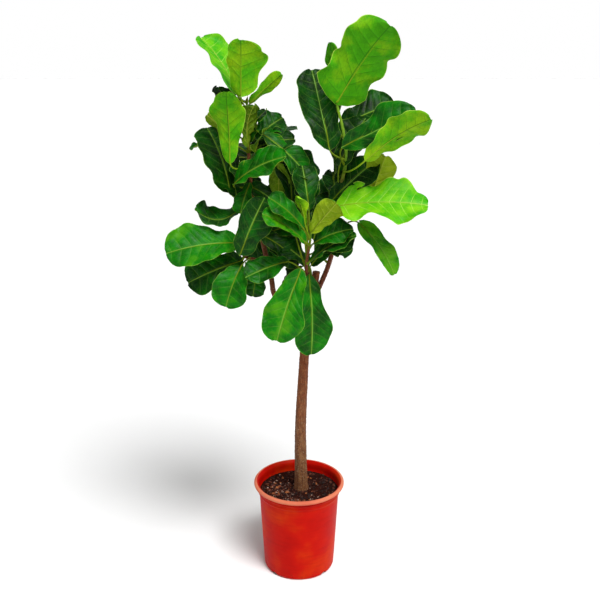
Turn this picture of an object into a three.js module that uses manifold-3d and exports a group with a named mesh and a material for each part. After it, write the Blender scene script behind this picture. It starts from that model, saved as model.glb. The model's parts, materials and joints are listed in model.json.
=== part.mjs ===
// Fiddle leaf fig (Ficus lyrata) grown as a small standard in a round nursery pot.
// Millimetres, +Z up. The origin is the middle of the pot's underside; -Y is the plant's front.
import * as THREE from 'three';
import { mergeVertices } from 'three/addons/utils/BufferGeometryUtils.js';
import Module from 'manifold-3d';

const manifold = await Module();
manifold.setup();

// ---------------------------------------------------------------- driving dimensions

// Pot
const POT_HEIGHT = 280;
const POT_LIP_DIAMETER = 270;
const POT_BODY_TOP_DIAMETER = 238;
const POT_BASE_DIAMETER = 212;
const POT_WALL = 2.2;
const POT_FLOOR = 3;
const POT_CORNER_RADIUS = 9;
const LIP_HEIGHT = 13;
const LIP_WIDTH = 8;
const COLLAR_HEIGHT = 36;
const COLLAR_STEP = 2.5;
const DRAIN_HOLES = 6;
const DRAIN_HOLE_DIAMETER = 14;
const DRAIN_NOTCHES = 4;
const DRAIN_NOTCH_WIDTH = 16;
const DRAIN_NOTCH_HEIGHT = 9;

// Soil
const SOIL_BELOW_LIP = 28;
const SOIL_MOUND = 5;
const TRUNK_DEPTH_IN_SOIL = 60;

// Wood
const TRUNK_HEIGHT = 676;
const TRUNK_DIAMETER_LOW = 40;
const TRUNK_DIAMETER_CUT = 21;
const CROWN_SCALE = 1;

// Leaves
const LEAF_THICKNESS = 1.2;
const STALK_RADIUS = 2.3;

// Clearances
const FIT_GAP = 0.3;
const LEAF_GAP = 0.1;

const SOIL_TOP = POT_HEIGHT - SOIL_BELOW_LIP;
const degrees = THREE.MathUtils.degToRad;
const UPRIGHT = new THREE.Vector3(0, 0, 1);

// ---------------------------------------------------------------- helpers

function toSolid(geometry) {
  const bare = geometry.clone();
  bare.deleteAttribute('normal');
  bare.deleteAttribute('uv');
  const merged = mergeVertices(bare, 1e-4);
  return new manifold.Manifold(new manifold.Mesh({
    numProp: 3,
    vertProperties: Float32Array.from(merged.attributes.position.array),
    triVerts: Uint32Array.from(merged.index.array),
  }));
}

function toGeometry(solid) {
  const mesh = solid.getMesh();
  const geometry = new THREE.BufferGeometry();
  geometry.setAttribute('position', new THREE.BufferAttribute(mesh.vertProperties, 3));
  geometry.setIndex(new THREE.BufferAttribute(mesh.triVerts, 1));
  geometry.computeVertexNormals();
  return geometry;
}

function makeMesh(name, geometry, material) {
  const mesh = new THREE.Mesh(geometry, material);
  mesh.name = name;
  return mesh;
}

// A closed skin over a row of rings that all have the same even number of points. A flat piece's ring runs
// over its upper face and back under its lower one, and both faces are split along the same diagonals.
function skinOverRings(rings) {
  const count = rings[0].length;
  const half = count / 2;
  const positions = rings.flatMap((ring) => ring.flatMap((point) => point.toArray()));
  const index = [];
  for (let row = 0; row + 1 < rings.length; row += 1) {
    for (let i = 0; i < count; i += 1) {
      const a = row * count + i;
      const b = row * count + ((i + 1) % count);
      if (i < half) {
        index.push(a, b, b + count);
        index.push(a, b + count, a + count);
      } else {
        index.push(a, b, a + count);
        index.push(b, b + count, a + count);
      }
    }
  }
  const last = (rings.length - 1) * count;
  index.push(0, count - 1, 1);
  index.push(half - 1, half + 1, half);
  index.push(last, last + 1, last + count - 1);
  index.push(last + half - 1, last + half, last + half + 1);
  for (let i = 1; i + 1 < half; i += 1) {
    const j = count - i;
    index.push(i, j, j - 1);
    index.push(i, j - 1, i + 1);
    index.push(last + i, last + i + 1, last + j - 1);
    index.push(last + i, last + j - 1, last + j);
  }
  const geometry = new THREE.BufferGeometry();
  geometry.setAttribute('position', new THREE.Float32BufferAttribute(positions, 3));
  geometry.setIndex(index);
  return geometry;
}

// ---------------------------------------------------------------- materials

const PLASTIC = new THREE.MeshStandardMaterial({ color: 0xc8380f, roughness: 0.38, metalness: 0 });
const SOIL = new THREE.MeshStandardMaterial({ color: 0x2c1a12, roughness: 1, metalness: 0 });
const TRUNK_BARK = new THREE.MeshStandardMaterial({ color: 0x7a4f2c, roughness: 0.85, metalness: 0 });
const SHOOT_BARK = new THREE.MeshStandardMaterial({ color: 0x5a2c1c, roughness: 0.8, metalness: 0 });
const MATURE_LEAF = new THREE.MeshStandardMaterial({ color: 0x14601a, roughness: 0.35, metalness: 0 });
const YOUNG_LEAF = new THREE.MeshStandardMaterial({ color: 0x76b51c, roughness: 0.4, metalness: 0 });

// ---------------------------------------------------------------- pot

function potProfile() {
  const base = POT_BASE_DIAMETER / 2;
  const top = POT_BODY_TOP_DIAMETER / 2;
  const lip = POT_LIP_DIAMETER / 2;
  const collar = POT_HEIGHT - COLLAR_HEIGHT;
  const slope = (top - base) / collar;
  const outline = [new THREE.Vector2(0, 0), new THREE.Vector2(base - POT_CORNER_RADIUS, 0)];
  for (let turn = 30; turn <= 90; turn += 30) {
    const x = base - POT_CORNER_RADIUS + POT_CORNER_RADIUS * Math.sin(degrees(turn));
    const z = POT_CORNER_RADIUS - POT_CORNER_RADIUS * Math.cos(degrees(turn));
    outline.push(new THREE.Vector2(x, z));
  }
  outline.push(new THREE.Vector2(top, collar));
  outline.push(new THREE.Vector2(top + COLLAR_STEP, collar + COLLAR_STEP));
  outline.push(new THREE.Vector2(top + COLLAR_STEP, POT_HEIGHT - LIP_HEIGHT));
  outline.push(new THREE.Vector2(lip - 2, POT_HEIGHT - LIP_HEIGHT));
  outline.push(new THREE.Vector2(lip, POT_HEIGHT - LIP_HEIGHT + 2));
  outline.push(new THREE.Vector2(lip, POT_HEIGHT - 3));
  outline.push(new THREE.Vector2(lip - 3, POT_HEIGHT));
  outline.push(new THREE.Vector2(lip - LIP_WIDTH, POT_HEIGHT));
  outline.push(new THREE.Vector2(top + COLLAR_STEP - POT_WALL, POT_HEIGHT - LIP_WIDTH));
  outline.push(new THREE.Vector2(top + COLLAR_STEP - POT_WALL, collar + COLLAR_STEP));
  outline.push(new THREE.Vector2(top - POT_WALL, collar));
  outline.push(new THREE.Vector2(base - POT_WALL + slope * POT_CORNER_RADIUS, POT_CORNER_RADIUS));
  outline.push(new THREE.Vector2(base - POT_CORNER_RADIUS, POT_FLOOR));
  outline.push(new THREE.Vector2(0, POT_FLOOR));
  return outline;
}

function makePot() {
  const turned = new THREE.LatheGeometry(potProfile(), 40).rotateX(Math.PI / 2);
  let pot = toSolid(turned);
  const holeRing = POT_BASE_DIAMETER * 0.3;
  for (let i = 0; i < DRAIN_HOLES; i += 1) {
    const angle = (i / DRAIN_HOLES) * Math.PI * 2;
    const radius = DRAIN_HOLE_DIAMETER / 2;
    const drill = new THREE.CylinderGeometry(radius, radius, POT_FLOOR * 4, 16).rotateX(Math.PI / 2);
    drill.translate(holeRing * Math.cos(angle), holeRing * Math.sin(angle), 0);
    pot = pot.subtract(toSolid(drill));
  }
  for (let i = 0; i < DRAIN_NOTCHES; i += 1) {
    const angle = ((i + 0.5) / DRAIN_NOTCHES) * Math.PI * 2;
    const cutter = new THREE.BoxGeometry(POT_CORNER_RADIUS * 2, DRAIN_NOTCH_WIDTH, DRAIN_NOTCH_HEIGHT * 2);
    cutter.translate(POT_BASE_DIAMETER / 2, 0, 0);
    cutter.rotateZ(angle);
    pot = pot.subtract(toSolid(cutter));
  }
  return makeMesh('pot', toGeometry(pot), PLASTIC);
}

// ---------------------------------------------------------------- wood

// A tapered round stem along a curve, its radius running evenly from start to end. All of its surface,
// both ends included, can be set outwards by grow, to cut what fits around it.
function stemGeometry(curve, [startRadius, endRadius], rows, sides, grow = 0) {
  const frames = curve.computeFrenetFrames(rows, false);
  const rings = [];
  for (let row = 0; row <= rows; row += 1) {
    const along = row / rows;
    const centre = curve.getPointAt(along);
    const radius = startRadius + (endRadius - startRadius) * along + grow;
    if (row === 0) centre.addScaledVector(frames.tangents[row], -grow);
    if (row === rows) centre.addScaledVector(frames.tangents[row], grow);
    const ring = [];
    for (let i = 0; i < sides; i += 1) {
      const angle = (i / sides) * Math.PI * 2;
      const point = centre.clone();
      point.addScaledVector(frames.normals[row], radius * Math.cos(angle));
      point.addScaledVector(frames.binormals[row], radius * Math.sin(angle));
      ring.push(point);
    }
    rings.push(ring);
  }
  return skinOverRings(rings);
}

// The trunk: [share of its height above the soil, offset in X]
const TRUNK_SWAY = [[-TRUNK_DEPTH_IN_SOIL / TRUNK_HEIGHT, 7], [0, 7], [0.3, 5], [0.52, 11], [0.65, 16],
  [0.83, 30], [0.94, 43], [1, 49]];
const trunkPoints = TRUNK_SWAY.map(([share, x]) => new THREE.Vector3(x, 0, SOIL_TOP + share * TRUNK_HEIGHT));
const trunkCurve = new THREE.CatmullRomCurve3(trunkPoints, false, 'centripetal');

function makeTrunk(grow) {
  return stemGeometry(trunkCurve, [TRUNK_DIAMETER_LOW / 2, TRUNK_DIAMETER_CUT / 2], 16, 16, grow);
}

const SHOOT_STEP = 38;

// Shoots: each starts inside its parent, at a distance below the trunk's cut top or at a share of its parent's
// length, and is described by offsets from its starting point.
const SHOOTS = {
  left_leader: {
    parent: 'trunk', below: 158, radii: [8.5, 3.2],
    path: [[-4, 0, 0], [-54, 0, 46], [-93, -2, 91], [-101, 0, 134], [-125, 12, 240], [-148, 15, 350],
      [-160, 12, 490], [-161, 0, 617]],
  },
  right_leader: {
    parent: 'trunk', below: 82, radii: [7.5, 3.2],
    path: [[2, 0, 0], [18, 0, 30], [53, 5, 121], [66, 12, 226], [76, 8, 310], [90, -12, 395], [83, -18, 461],
      [61, -10, 548]],
  },
  centre_shoot: {
    parent: 'trunk', below: 134, radii: [6, 3],
    path: [[0, -4, 0], [-5, -30, 104], [-7, -50, 167], [1, -75, 228], [5, -90, 268]],
  },
  rear_shoot: {
    parent: 'trunk', below: 110, radii: [6.5, 3],
    path: [[0, 5, 0], [-2, 60, 70], [-10, 105, 150], [-18, 130, 230]],
  },
  lower_left_shoot: {
    parent: 'left_leader', along: 0.315, radii: [4.5, 3],
    path: [[0, 0, 0], [-33, -20, 26], [-62, -38, 38], [-74, -50, 60]],
  },
};

// ---------------------------------------------------------------- leaves

// Each leaf: where its stalk leaves its shoot (0 root, 1 tip), the way from there to the foot of the blade,
// the heading (turn from +X, rise above level) and length of the blade's chord, its width, the roll about
// the chord, the bow of the midrib, the fold of the two halves and the size of the margin's waves.
const LEAVES = [
  // left leader, from its tip downwards
  { name: 'left_leaf_01', on: 'left_leader', at: 1.0, foot: [-27, 16, 21],
    turn: 145, rise: 50, length: 185, width: 130, roll: 0, bow: 12, fold: 0.45, wave: 5, lobe: 0.1,
    neck: 0.85, young: true },
  { name: 'left_leaf_02', on: 'left_leader', at: 0.975, foot: [-14, -27, 38],
    turn: 281, rise: 80, length: 138, width: 108, roll: -10, bow: 8, fold: 0.25, wave: 4, neck: 0.6,
    lean: -0.25, young: true },
  { name: 'left_leaf_03', on: 'left_leader', at: 0.95, foot: [10, 2, 32],
    turn: 349, rise: 41, length: 111, width: 42, roll: -60, bow: 6, fold: 0.7, wave: 2, neck: 0.6,
    young: true },
  { name: 'left_leaf_04', on: 'left_leader', at: 0.74, foot: [-48, -60, 25],
    turn: 264, rise: 80, length: 181, width: 95, roll: 0, bow: 14, fold: 0.35, wave: 5, young: true },
  { name: 'left_leaf_05', on: 'left_leader', at: 0.6, foot: [-62, -30, 35],
    turn: 141, rise: 64, length: 178, width: 146, roll: 0, bow: 14, fold: 0.2, wave: 6, neck: 0.7,
    lean: -0.15 },
  { name: 'left_leaf_06', on: 'left_leader', at: 0.66, foot: [-40, -62, 20],
    turn: 345, rise: 28, length: 160, width: 120, roll: 35, bow: 14, fold: 0.3, wave: 6 },
  { name: 'left_leaf_07', on: 'left_leader', at: 0.8, foot: [-47, -30, 42],
    turn: 190, rise: 46, length: 84, width: 60, roll: 50, bow: 6, fold: 0.3, wave: 3 },
  { name: 'left_leaf_08', on: 'left_leader', at: 0.84, foot: [-32, 10, 32],
    turn: 135, rise: 57, length: 130, width: 90, roll: 0, bow: 10, fold: 0.3, wave: 5 },
  { name: 'left_leaf_09', on: 'left_leader', at: 0.87, foot: [26, -6, 12],
    turn: 353, rise: -42, length: 200, width: 85, roll: 30, bow: 16, fold: 0.25, wave: 8 },
  { name: 'left_leaf_10', on: 'left_leader', at: 0.83, foot: [8, 26, 8],
    turn: 26, rise: 32, length: 110, width: 80, roll: 45, bow: 8, fold: 0.3, wave: 5 },
  { name: 'left_leaf_11', on: 'left_leader', at: 0.75, foot: [74, -38, 30],
    turn: 80, rise: -78, length: 110, width: 60, roll: 0, bow: 8, fold: 0.2, wave: 4 },
  { name: 'left_leaf_12', on: 'left_leader', at: 0.63, foot: [-6, -26, 30],
    turn: 235, rise: -60, length: 85, width: 54, roll: -20, bow: 10, fold: 0.3, wave: 4 },
  { name: 'left_leaf_13', on: 'left_leader', at: 0.78, foot: [-73, 71, 8],
    turn: 173, rise: 2, length: 96, width: 50, roll: 0, bow: 12, fold: 0.3, wave: 5 },
  { name: 'left_leaf_14', on: 'left_leader', at: 0.77, foot: [42, 36, 4],
    turn: 350, rise: -25, length: 120, width: 85, roll: 30, bow: 12, fold: 0.3, wave: 5 },
  { name: 'left_leaf_15', on: 'left_leader', at: 0.5, foot: [-35, -26, 62],
    turn: 194, rise: -4, length: 136, width: 108, roll: -25, bow: -42, fold: 0.4, wave: 5 },
  // right leader, from its tip downwards
  { name: 'right_leaf_01', on: 'right_leader', at: 1.0, foot: [5, -10, -1],
    turn: 332, rise: 53, length: 233, width: 162, roll: -50, bow: 14, fold: 0.3, wave: 9, lobe: 0.2,
    neck: 0.8, young: true },
  { name: 'right_leaf_02', on: 'right_leader', at: 0.94, foot: [-9, 8, 38],
    turn: 180, rise: 83, length: 141, width: 52, roll: 60, bow: 8, fold: 0.6, wave: 3, young: true },
  { name: 'right_leaf_03', on: 'right_leader', at: 0.72, foot: [-46, 0, 34],
    turn: 123, rise: 67, length: 212, width: 128, roll: -15, bow: 14, fold: 0.25, wave: 6, neck: 0.6 },
  { name: 'right_leaf_04', on: 'right_leader', at: 0.82, foot: [-2, 53, 28],
    turn: 10, rise: 21, length: 150, width: 120, roll: 45, bow: 10, fold: 0.3, wave: 6 },
  { name: 'right_leaf_05', on: 'right_leader', at: 0.66, foot: [52, -114, 50],
    turn: 353, rise: 33, length: 186, width: 106, roll: -55, bow: 14, fold: 0.3, wave: 7, neck: 0.6,
    young: true },
  { name: 'right_leaf_06', on: 'right_leader', at: 0.69, foot: [-4, -52, 60],
    turn: 354, rise: 27, length: 201, width: 108, roll: 70, bow: 12, fold: 0.3, wave: 7 },
  { name: 'right_leaf_07', on: 'right_leader', at: 0.52, foot: [87, -8, 10],
    turn: 316, rise: 67, length: 122, width: 88, roll: -50, bow: 10, fold: 0.3, wave: 4, lobe: 0.25 },
  { name: 'right_leaf_08', on: 'right_leader', at: 0.47, foot: [-1, -62, 21],
    turn: 352, rise: 2, length: 237, width: 160, roll: 35, bow: 14, fold: 0.25, wave: 9, lobe: 0.45,
    young: true },
  { name: 'right_leaf_09', on: 'right_leader', at: 0.35, foot: [67, -45, 37],
    turn: 335, rise: -52, length: 165, width: 66, roll: 30, bow: 14, fold: 0.35, wave: 2, neck: 0.85 },
  { name: 'right_leaf_10', on: 'right_leader', at: 0.6, foot: [30, 14, -34],
    turn: 40, rise: 29, length: 80, width: 60, roll: 40, bow: 8, fold: 0.3, wave: 4 },
  // centre shoot
  { name: 'centre_leaf_01', on: 'centre_shoot', at: 1.0, foot: [2, -12, 2],
    turn: 331, rise: 49, length: 108, width: 78, roll: -60, bow: 8, fold: 0.25, wave: 4 },
  { name: 'centre_leaf_02', on: 'centre_shoot', at: 0.965, foot: [-6, 16, 66],
    turn: 114, rise: 69, length: 115, width: 80, roll: 0, bow: 8, fold: 0.3, wave: 4 },
  { name: 'centre_leaf_03', on: 'centre_shoot', at: 0.93, foot: [-14, -10, 40],
    turn: 216, rise: 71, length: 80, width: 34, roll: 20, bow: 5, fold: 0.5, wave: 2, young: true },
  { name: 'centre_leaf_04', on: 'centre_shoot', at: 0.895, foot: [-20, -18, 40],
    turn: 205, rise: 42, length: 130, width: 75, roll: -55, bow: 10, fold: 0.3, wave: 4 },
  { name: 'centre_leaf_05', on: 'centre_shoot', at: 0.85, foot: [-14, -22, 14],
    turn: 209, rise: 35, length: 150, width: 75, roll: -45, bow: 10, fold: 0.35, wave: 4 },
  { name: 'centre_leaf_06', on: 'centre_shoot', at: 0.62, foot: [12, -16, 14],
    turn: 345, rise: 32, length: 145, width: 85, roll: 30, bow: 12, fold: 0.3, wave: 6 },
  { name: 'centre_leaf_07', on: 'centre_shoot', at: 0.8, foot: [14, -8, 18],
    turn: 350, rise: 22, length: 112, width: 80, roll: 45, bow: 10, fold: 0.3, wave: 5 },
  { name: 'hanging_leaf_01', on: 'centre_shoot', at: 0.38, foot: [-20, -46, 49],
    turn: 216, rise: -67, length: 197, width: 120, roll: -45, bow: 14, fold: 0.2, wave: 6 },
  { name: 'hanging_leaf_02', on: 'centre_shoot', at: 0.22, foot: [4, -34, 70],
    turn: 281, rise: -82, length: 215, width: 105, roll: 0, bow: 14, fold: 0.2, wave: 6 },
  { name: 'centre_leaf_08', on: 'centre_shoot', at: 0.5, foot: [-53, -8, 37],
    turn: 219, rise: -8, length: 141, width: 80, roll: -40, bow: 12, fold: 0.3, wave: 5 },
  // lower left shoot
  { name: 'low_leaf_01', on: 'lower_left_shoot', at: 1.0, foot: [-7, 6, 19],
    turn: 199, rise: -4, length: 197, width: 138, roll: -45, bow: 16, fold: 0.25, wave: 6 },
  { name: 'low_leaf_02', on: 'lower_left_shoot', at: 0.95, foot: [2, -48, 9],
    turn: 350, rise: 66, length: 164, width: 95, roll: 90, bow: 10, fold: 0.3, wave: 5, neck: 0.6,
    lean: 0.15 },
  { name: 'low_leaf_03', on: 'lower_left_shoot', at: 0.8, foot: [-9, 3, -15],
    turn: 185, rise: -22, length: 157, width: 118, roll: -55, bow: 14, fold: 0.3, wave: 5, neck: 0.6 },
  { name: 'low_leaf_04', on: 'lower_left_shoot', at: 0.62, foot: [-20, -57, -9],
    turn: 227, rise: -60, length: 115, width: 110, roll: -25, bow: 12, fold: 0.3, wave: 5, neck: 0.6 },
  { name: 'low_leaf_05', on: 'lower_left_shoot', at: 0.35, foot: [2, -24, -14],
    turn: 232, rise: -71, length: 81, width: 75, roll: -20, bow: 8, fold: 0.3, wave: 4 },
  // hidden side of the crown
  { name: 'rear_leaf_01', on: 'left_leader', at: 0.93, foot: [4, 28, -6],
    turn: 94, rise: 0, length: 160, width: 105, roll: 0, bow: 14, fold: 0.25, wave: 5 },
  { name: 'rear_leaf_02', on: 'left_leader', at: 0.81, foot: [28, 26, 4],
    turn: 60, rise: 15, length: 160, width: 100, roll: 10, bow: 14, fold: 0.25, wave: 5 },
  { name: 'rear_leaf_03', on: 'left_leader', at: 0.71, foot: [2, 34, 8],
    turn: 95, rise: 15, length: 180, width: 130, roll: 0, bow: 16, fold: 0.25, wave: 6 },
  { name: 'rear_leaf_04', on: 'left_leader', at: 0.6, foot: [32, 18, 6],
    turn: 30, rise: 5, length: 165, width: 120, roll: 50, bow: 14, fold: 0.25, wave: 5 },
  { name: 'rear_leaf_05', on: 'left_leader', at: 0.46, foot: [22, 8, 0],
    turn: 20, rise: 10, length: 150, width: 110, roll: 45, bow: 14, fold: 0.25, wave: 5 },
  { name: 'rear_leaf_06', on: 'left_leader', at: 0.36, foot: [-4, 32, 4],
    turn: 80, rise: 20, length: 180, width: 120, roll: 0, bow: 16, fold: 0.25, wave: 6 },
  { name: 'rear_leaf_07', on: 'rear_shoot', at: 1.0, foot: [0, 8, 24],
    turn: 102, rise: 38, length: 175, width: 115, roll: 0, bow: 14, fold: 0.25, wave: 6 },
  { name: 'rear_leaf_08', on: 'rear_shoot', at: 0.88, foot: [26, 4, 16],
    turn: 30, rise: 48, length: 170, width: 120, roll: 20, bow: 14, fold: 0.25, wave: 5 },
  { name: 'rear_leaf_09', on: 'rear_shoot', at: 0.9, foot: [-26, 2, 14],
    turn: 172, rise: 12, length: 160, width: 110, roll: -45, bow: 14, fold: 0.25, wave: 5 },
  { name: 'rear_leaf_10', on: 'rear_shoot', at: 0.6, foot: [26, 10, 10],
    turn: 30, rise: 5, length: 105, width: 110, roll: 40, bow: 14, fold: 0.25, wave: 6 },
  { name: 'rear_leaf_11', on: 'rear_shoot', at: 0.5, foot: [-24, 12, 8],
    turn: 160, rise: -5, length: 165, width: 110, roll: -45, bow: 14, fold: 0.25, wave: 6 },
  { name: 'rear_leaf_12', on: 'right_leader', at: 0.6, foot: [4, 26, 6],
    turn: 75, rise: 40, length: 150, width: 100, roll: 0, bow: 16, fold: 0.25, wave: 6 },
];

const BLADE_ROWS = [0.02, 0.1, 0.25, 0.45, 0.64, 0.81, 0.94, 1];
const BLADE_COLUMNS = [-1, -0.5, 0, 0.5, 1];

// Half width of a fiddle-shaped blade, as a share of its widest, from its foot (0) to its tip (1). The neck is
// its width below the middle, and the lobe widens it beside its foot, which leaves a waist above.
function fiddleOutline(t, lobe = 0.05, neck = 0.46) {
  const body = neck + (1 - neck) * THREE.MathUtils.smoothstep(t, 0.15, 0.68);
  const lobes = lobe * Math.exp(-(((t - 0.17) / 0.12) ** 2));
  const foot = Math.sqrt(Math.min(1, 0.04 + t / 0.12));
  const tip = t < 0.66 ? 1 : Math.sqrt(Math.max(0.03, 1 - ((t - 0.66) / 0.345) ** 2));
  return (body + lobes) * foot * tip;
}

// The blade's own axes: along the chord, out of the upper side, and across.
function bladeAxes(leaf) {
  const turn = degrees(leaf.turn);
  const rise = degrees(leaf.rise);
  const heading = new THREE.Vector3(Math.cos(turn), Math.sin(turn), 0);
  const along = heading.clone().multiplyScalar(Math.cos(rise)).addScaledVector(UPRIGHT, Math.sin(rise));
  const up = heading.clone().multiplyScalar(-Math.sin(rise)).addScaledVector(UPRIGHT, Math.cos(rise));
  up.applyAxisAngle(along, degrees(leaf.roll));
  return { along, up, across: new THREE.Vector3().crossVectors(along, up) };
}

function midrib(leaf, axes, foot, t) {
  const point = foot.clone().addScaledVector(axes.along, leaf.length * CROWN_SCALE * t);
  return point.addScaledVector(axes.up, leaf.bow * CROWN_SCALE * 4 * t * (1 - t));
}

function bladeRing(leaf, axes, foot, t, grow) {
  const centre = midrib(leaf, axes, foot, t);
  const slope = (leaf.bow * 4 * (1 - 2 * t)) / leaf.length;
  const normal = axes.up.clone().addScaledVector(axes.along, -slope).normalize();
  const half = (leaf.width / 2) * CROWN_SCALE * fiddleOutline(t, leaf.lobe, leaf.neck);
  const thick = (t < 0.05 ? LEAF_THICKNESS * 2 : LEAF_THICKNESS) / 2 + grow;
  const spot = (side, offset) => {
    const fold = leaf.fold * half * Math.abs(side) ** 1.6 * 0.6;
    const wave = leaf.wave * CROWN_SCALE * Math.min(1, t * 4);
    const ripple = wave * Math.abs(side) ** 3 * Math.sin(t * 14 + side * 1.3);
    const reach = half * side * (1 - 0.12 * leaf.fold) * (1 + Math.sign(side) * (leaf.lean ?? 0));
    const point = centre.clone().addScaledVector(axes.across, reach);
    return point.addScaledVector(normal, fold + ripple + offset);
  };
  const upper = BLADE_COLUMNS.map((side) => spot(side, Math.abs(side) < 1 ? thick : 0));
  const lower = BLADE_COLUMNS.slice(1, -1).map((side) => spot(side, -thick)).reverse();
  return [...upper, ...lower];
}

function stalkRings(leaf, axes, start, foot, grow) {
  const reach = start.distanceTo(foot);
  const tangent = axes.along.clone().addScaledVector(axes.up, (leaf.bow * 4) / leaf.length).normalize();
  const bend = foot.clone().addScaledVector(tangent, -reach * 0.4);
  const curve = new THREE.QuadraticBezierCurve3(start, bend, foot);
  const rings = [];
  for (const along of [0, 0.45, 0.9]) {
    const centre = curve.getPoint(along);
    const forward = curve.getTangent(along);
    const across = axes.across.clone().addScaledVector(forward, -axes.across.dot(forward)).normalize();
    const up = new THREE.Vector3().crossVectors(across, forward);
    const ring = [];
    for (let i = 0; i < 8; i += 1) {
      const angle = degrees(180 - i * 45);
      const point = centre.clone().addScaledVector(across, (STALK_RADIUS + grow) * Math.cos(angle));
      ring.push(point.addScaledVector(up, (STALK_RADIUS + grow) * Math.sin(angle)));
    }
    rings.push(ring);
  }
  return rings;
}

// A whole leaf. All of its faces can be set outwards by grow, to cut what passes close by.
function leafGeometry(leaf, shootCurve, grow = 0) {
  const axes = bladeAxes(leaf);
  const start = shootCurve.getPointAt(leaf.at);
  const foot = start.clone().add(new THREE.Vector3(...leaf.foot).multiplyScalar(CROWN_SCALE));
  const blade = BLADE_ROWS.map((t) => bladeRing(leaf, axes, foot, t, grow));
  return skinOverRings([...stalkRings(leaf, axes, start, foot, grow), ...blade]);
}

// ---------------------------------------------------------------- soil

function makeSoil() {
  const collar = POT_HEIGHT - COLLAR_HEIGHT;
  const slope = (POT_BODY_TOP_DIAMETER - POT_BASE_DIAMETER) / 2 / collar;
  const inside = (z) => POT_BASE_DIAMETER / 2 + slope * z - POT_WALL - FIT_GAP;
  const bottom = POT_FLOOR + FIT_GAP;
  const profile = [
    new THREE.Vector2(0, bottom),
    new THREE.Vector2(POT_BASE_DIAMETER / 2 - POT_CORNER_RADIUS - FIT_GAP, bottom),
    new THREE.Vector2(inside(POT_CORNER_RADIUS), POT_CORNER_RADIUS),
  ];
  const rim = SOIL_TOP - SOIL_MOUND;
  let edge = inside(Math.min(rim, collar));
  if (rim > collar + COLLAR_STEP) {
    profile.push(new THREE.Vector2(edge, collar));
    edge = POT_BODY_TOP_DIAMETER / 2 + COLLAR_STEP - POT_WALL - FIT_GAP;
    profile.push(new THREE.Vector2(edge, collar + COLLAR_STEP));
  }
  profile.push(new THREE.Vector2(edge, rim));
  profile.push(new THREE.Vector2(edge * 0.6, SOIL_TOP - 1));
  profile.push(new THREE.Vector2(0, SOIL_TOP));
  const plug = toSolid(new THREE.LatheGeometry(profile, 40).rotateX(Math.PI / 2));
  return makeMesh('soil', toGeometry(plug.subtract(toSolid(makeTrunk(FIT_GAP)))), SOIL);
}

// ---------------------------------------------------------------- assembly

const plant = new THREE.Group();
plant.add(makePot());
plant.add(makeSoil());
plant.add(makeMesh('trunk', makeTrunk(0), TRUNK_BARK));

const curves = { trunk: trunkCurve };
const grown = { trunk: toSolid(makeTrunk(FIT_GAP)) };
for (const [name, shoot] of Object.entries(SHOOTS)) {
  const parent = curves[shoot.parent];
  const onTrunk = 1 - (shoot.below * CROWN_SCALE) / (TRUNK_DEPTH_IN_SOIL + TRUNK_HEIGHT);
  const root = parent.getPointAt(shoot.along ?? onTrunk);
  const points = shoot.path.map((step) => new THREE.Vector3(...step).multiplyScalar(CROWN_SCALE).add(root));
  const curve = new THREE.CatmullRomCurve3(points, false, 'centripetal');
  const rows = Math.round(curve.getLength() / SHOOT_STEP) + 2;
  const whole = toSolid(stemGeometry(curve, shoot.radii, rows, 8));
  plant.add(makeMesh(name, toGeometry(whole.subtract(grown[shoot.parent])), SHOOT_BARK));
  curves[name] = curve;
  grown[name] = toSolid(stemGeometry(curve, shoot.radii, rows, 8, FIT_GAP));
}
const passed = [];
for (const leaf of LEAVES) {
  const whole = toSolid(leafGeometry(leaf, curves[leaf.on]));
  let seated = whole.subtract(grown[leaf.on]);
  for (const other of passed) {
    if (other.intersect(seated).volume() > 0) seated = seated.subtract(other);
  }
  passed.push(toSolid(leafGeometry(leaf, curves[leaf.on], LEAF_GAP)));
  plant.add(makeMesh(leaf.name, toGeometry(seated), leaf.young ? YOUNG_LEAF : MATURE_LEAF));
}

export default plant;
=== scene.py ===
import json
import math

import bpy
import numpy as np
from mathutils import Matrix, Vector, noise

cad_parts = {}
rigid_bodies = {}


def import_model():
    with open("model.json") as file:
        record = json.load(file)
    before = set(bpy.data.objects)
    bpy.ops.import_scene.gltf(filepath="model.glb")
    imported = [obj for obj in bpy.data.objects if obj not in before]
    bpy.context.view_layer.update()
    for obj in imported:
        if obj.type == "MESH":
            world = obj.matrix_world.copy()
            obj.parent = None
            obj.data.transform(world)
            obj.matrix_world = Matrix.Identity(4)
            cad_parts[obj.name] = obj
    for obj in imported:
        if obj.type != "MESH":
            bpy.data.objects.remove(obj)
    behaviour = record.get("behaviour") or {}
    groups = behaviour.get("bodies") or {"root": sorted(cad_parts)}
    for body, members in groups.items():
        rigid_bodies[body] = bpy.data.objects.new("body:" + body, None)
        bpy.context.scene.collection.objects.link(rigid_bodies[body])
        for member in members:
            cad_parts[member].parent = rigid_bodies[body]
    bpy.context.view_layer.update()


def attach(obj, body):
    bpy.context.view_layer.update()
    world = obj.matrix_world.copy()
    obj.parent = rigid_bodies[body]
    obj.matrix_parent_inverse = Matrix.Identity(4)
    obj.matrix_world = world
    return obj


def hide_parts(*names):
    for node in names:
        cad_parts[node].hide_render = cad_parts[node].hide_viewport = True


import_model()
MM = 0.001

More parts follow.
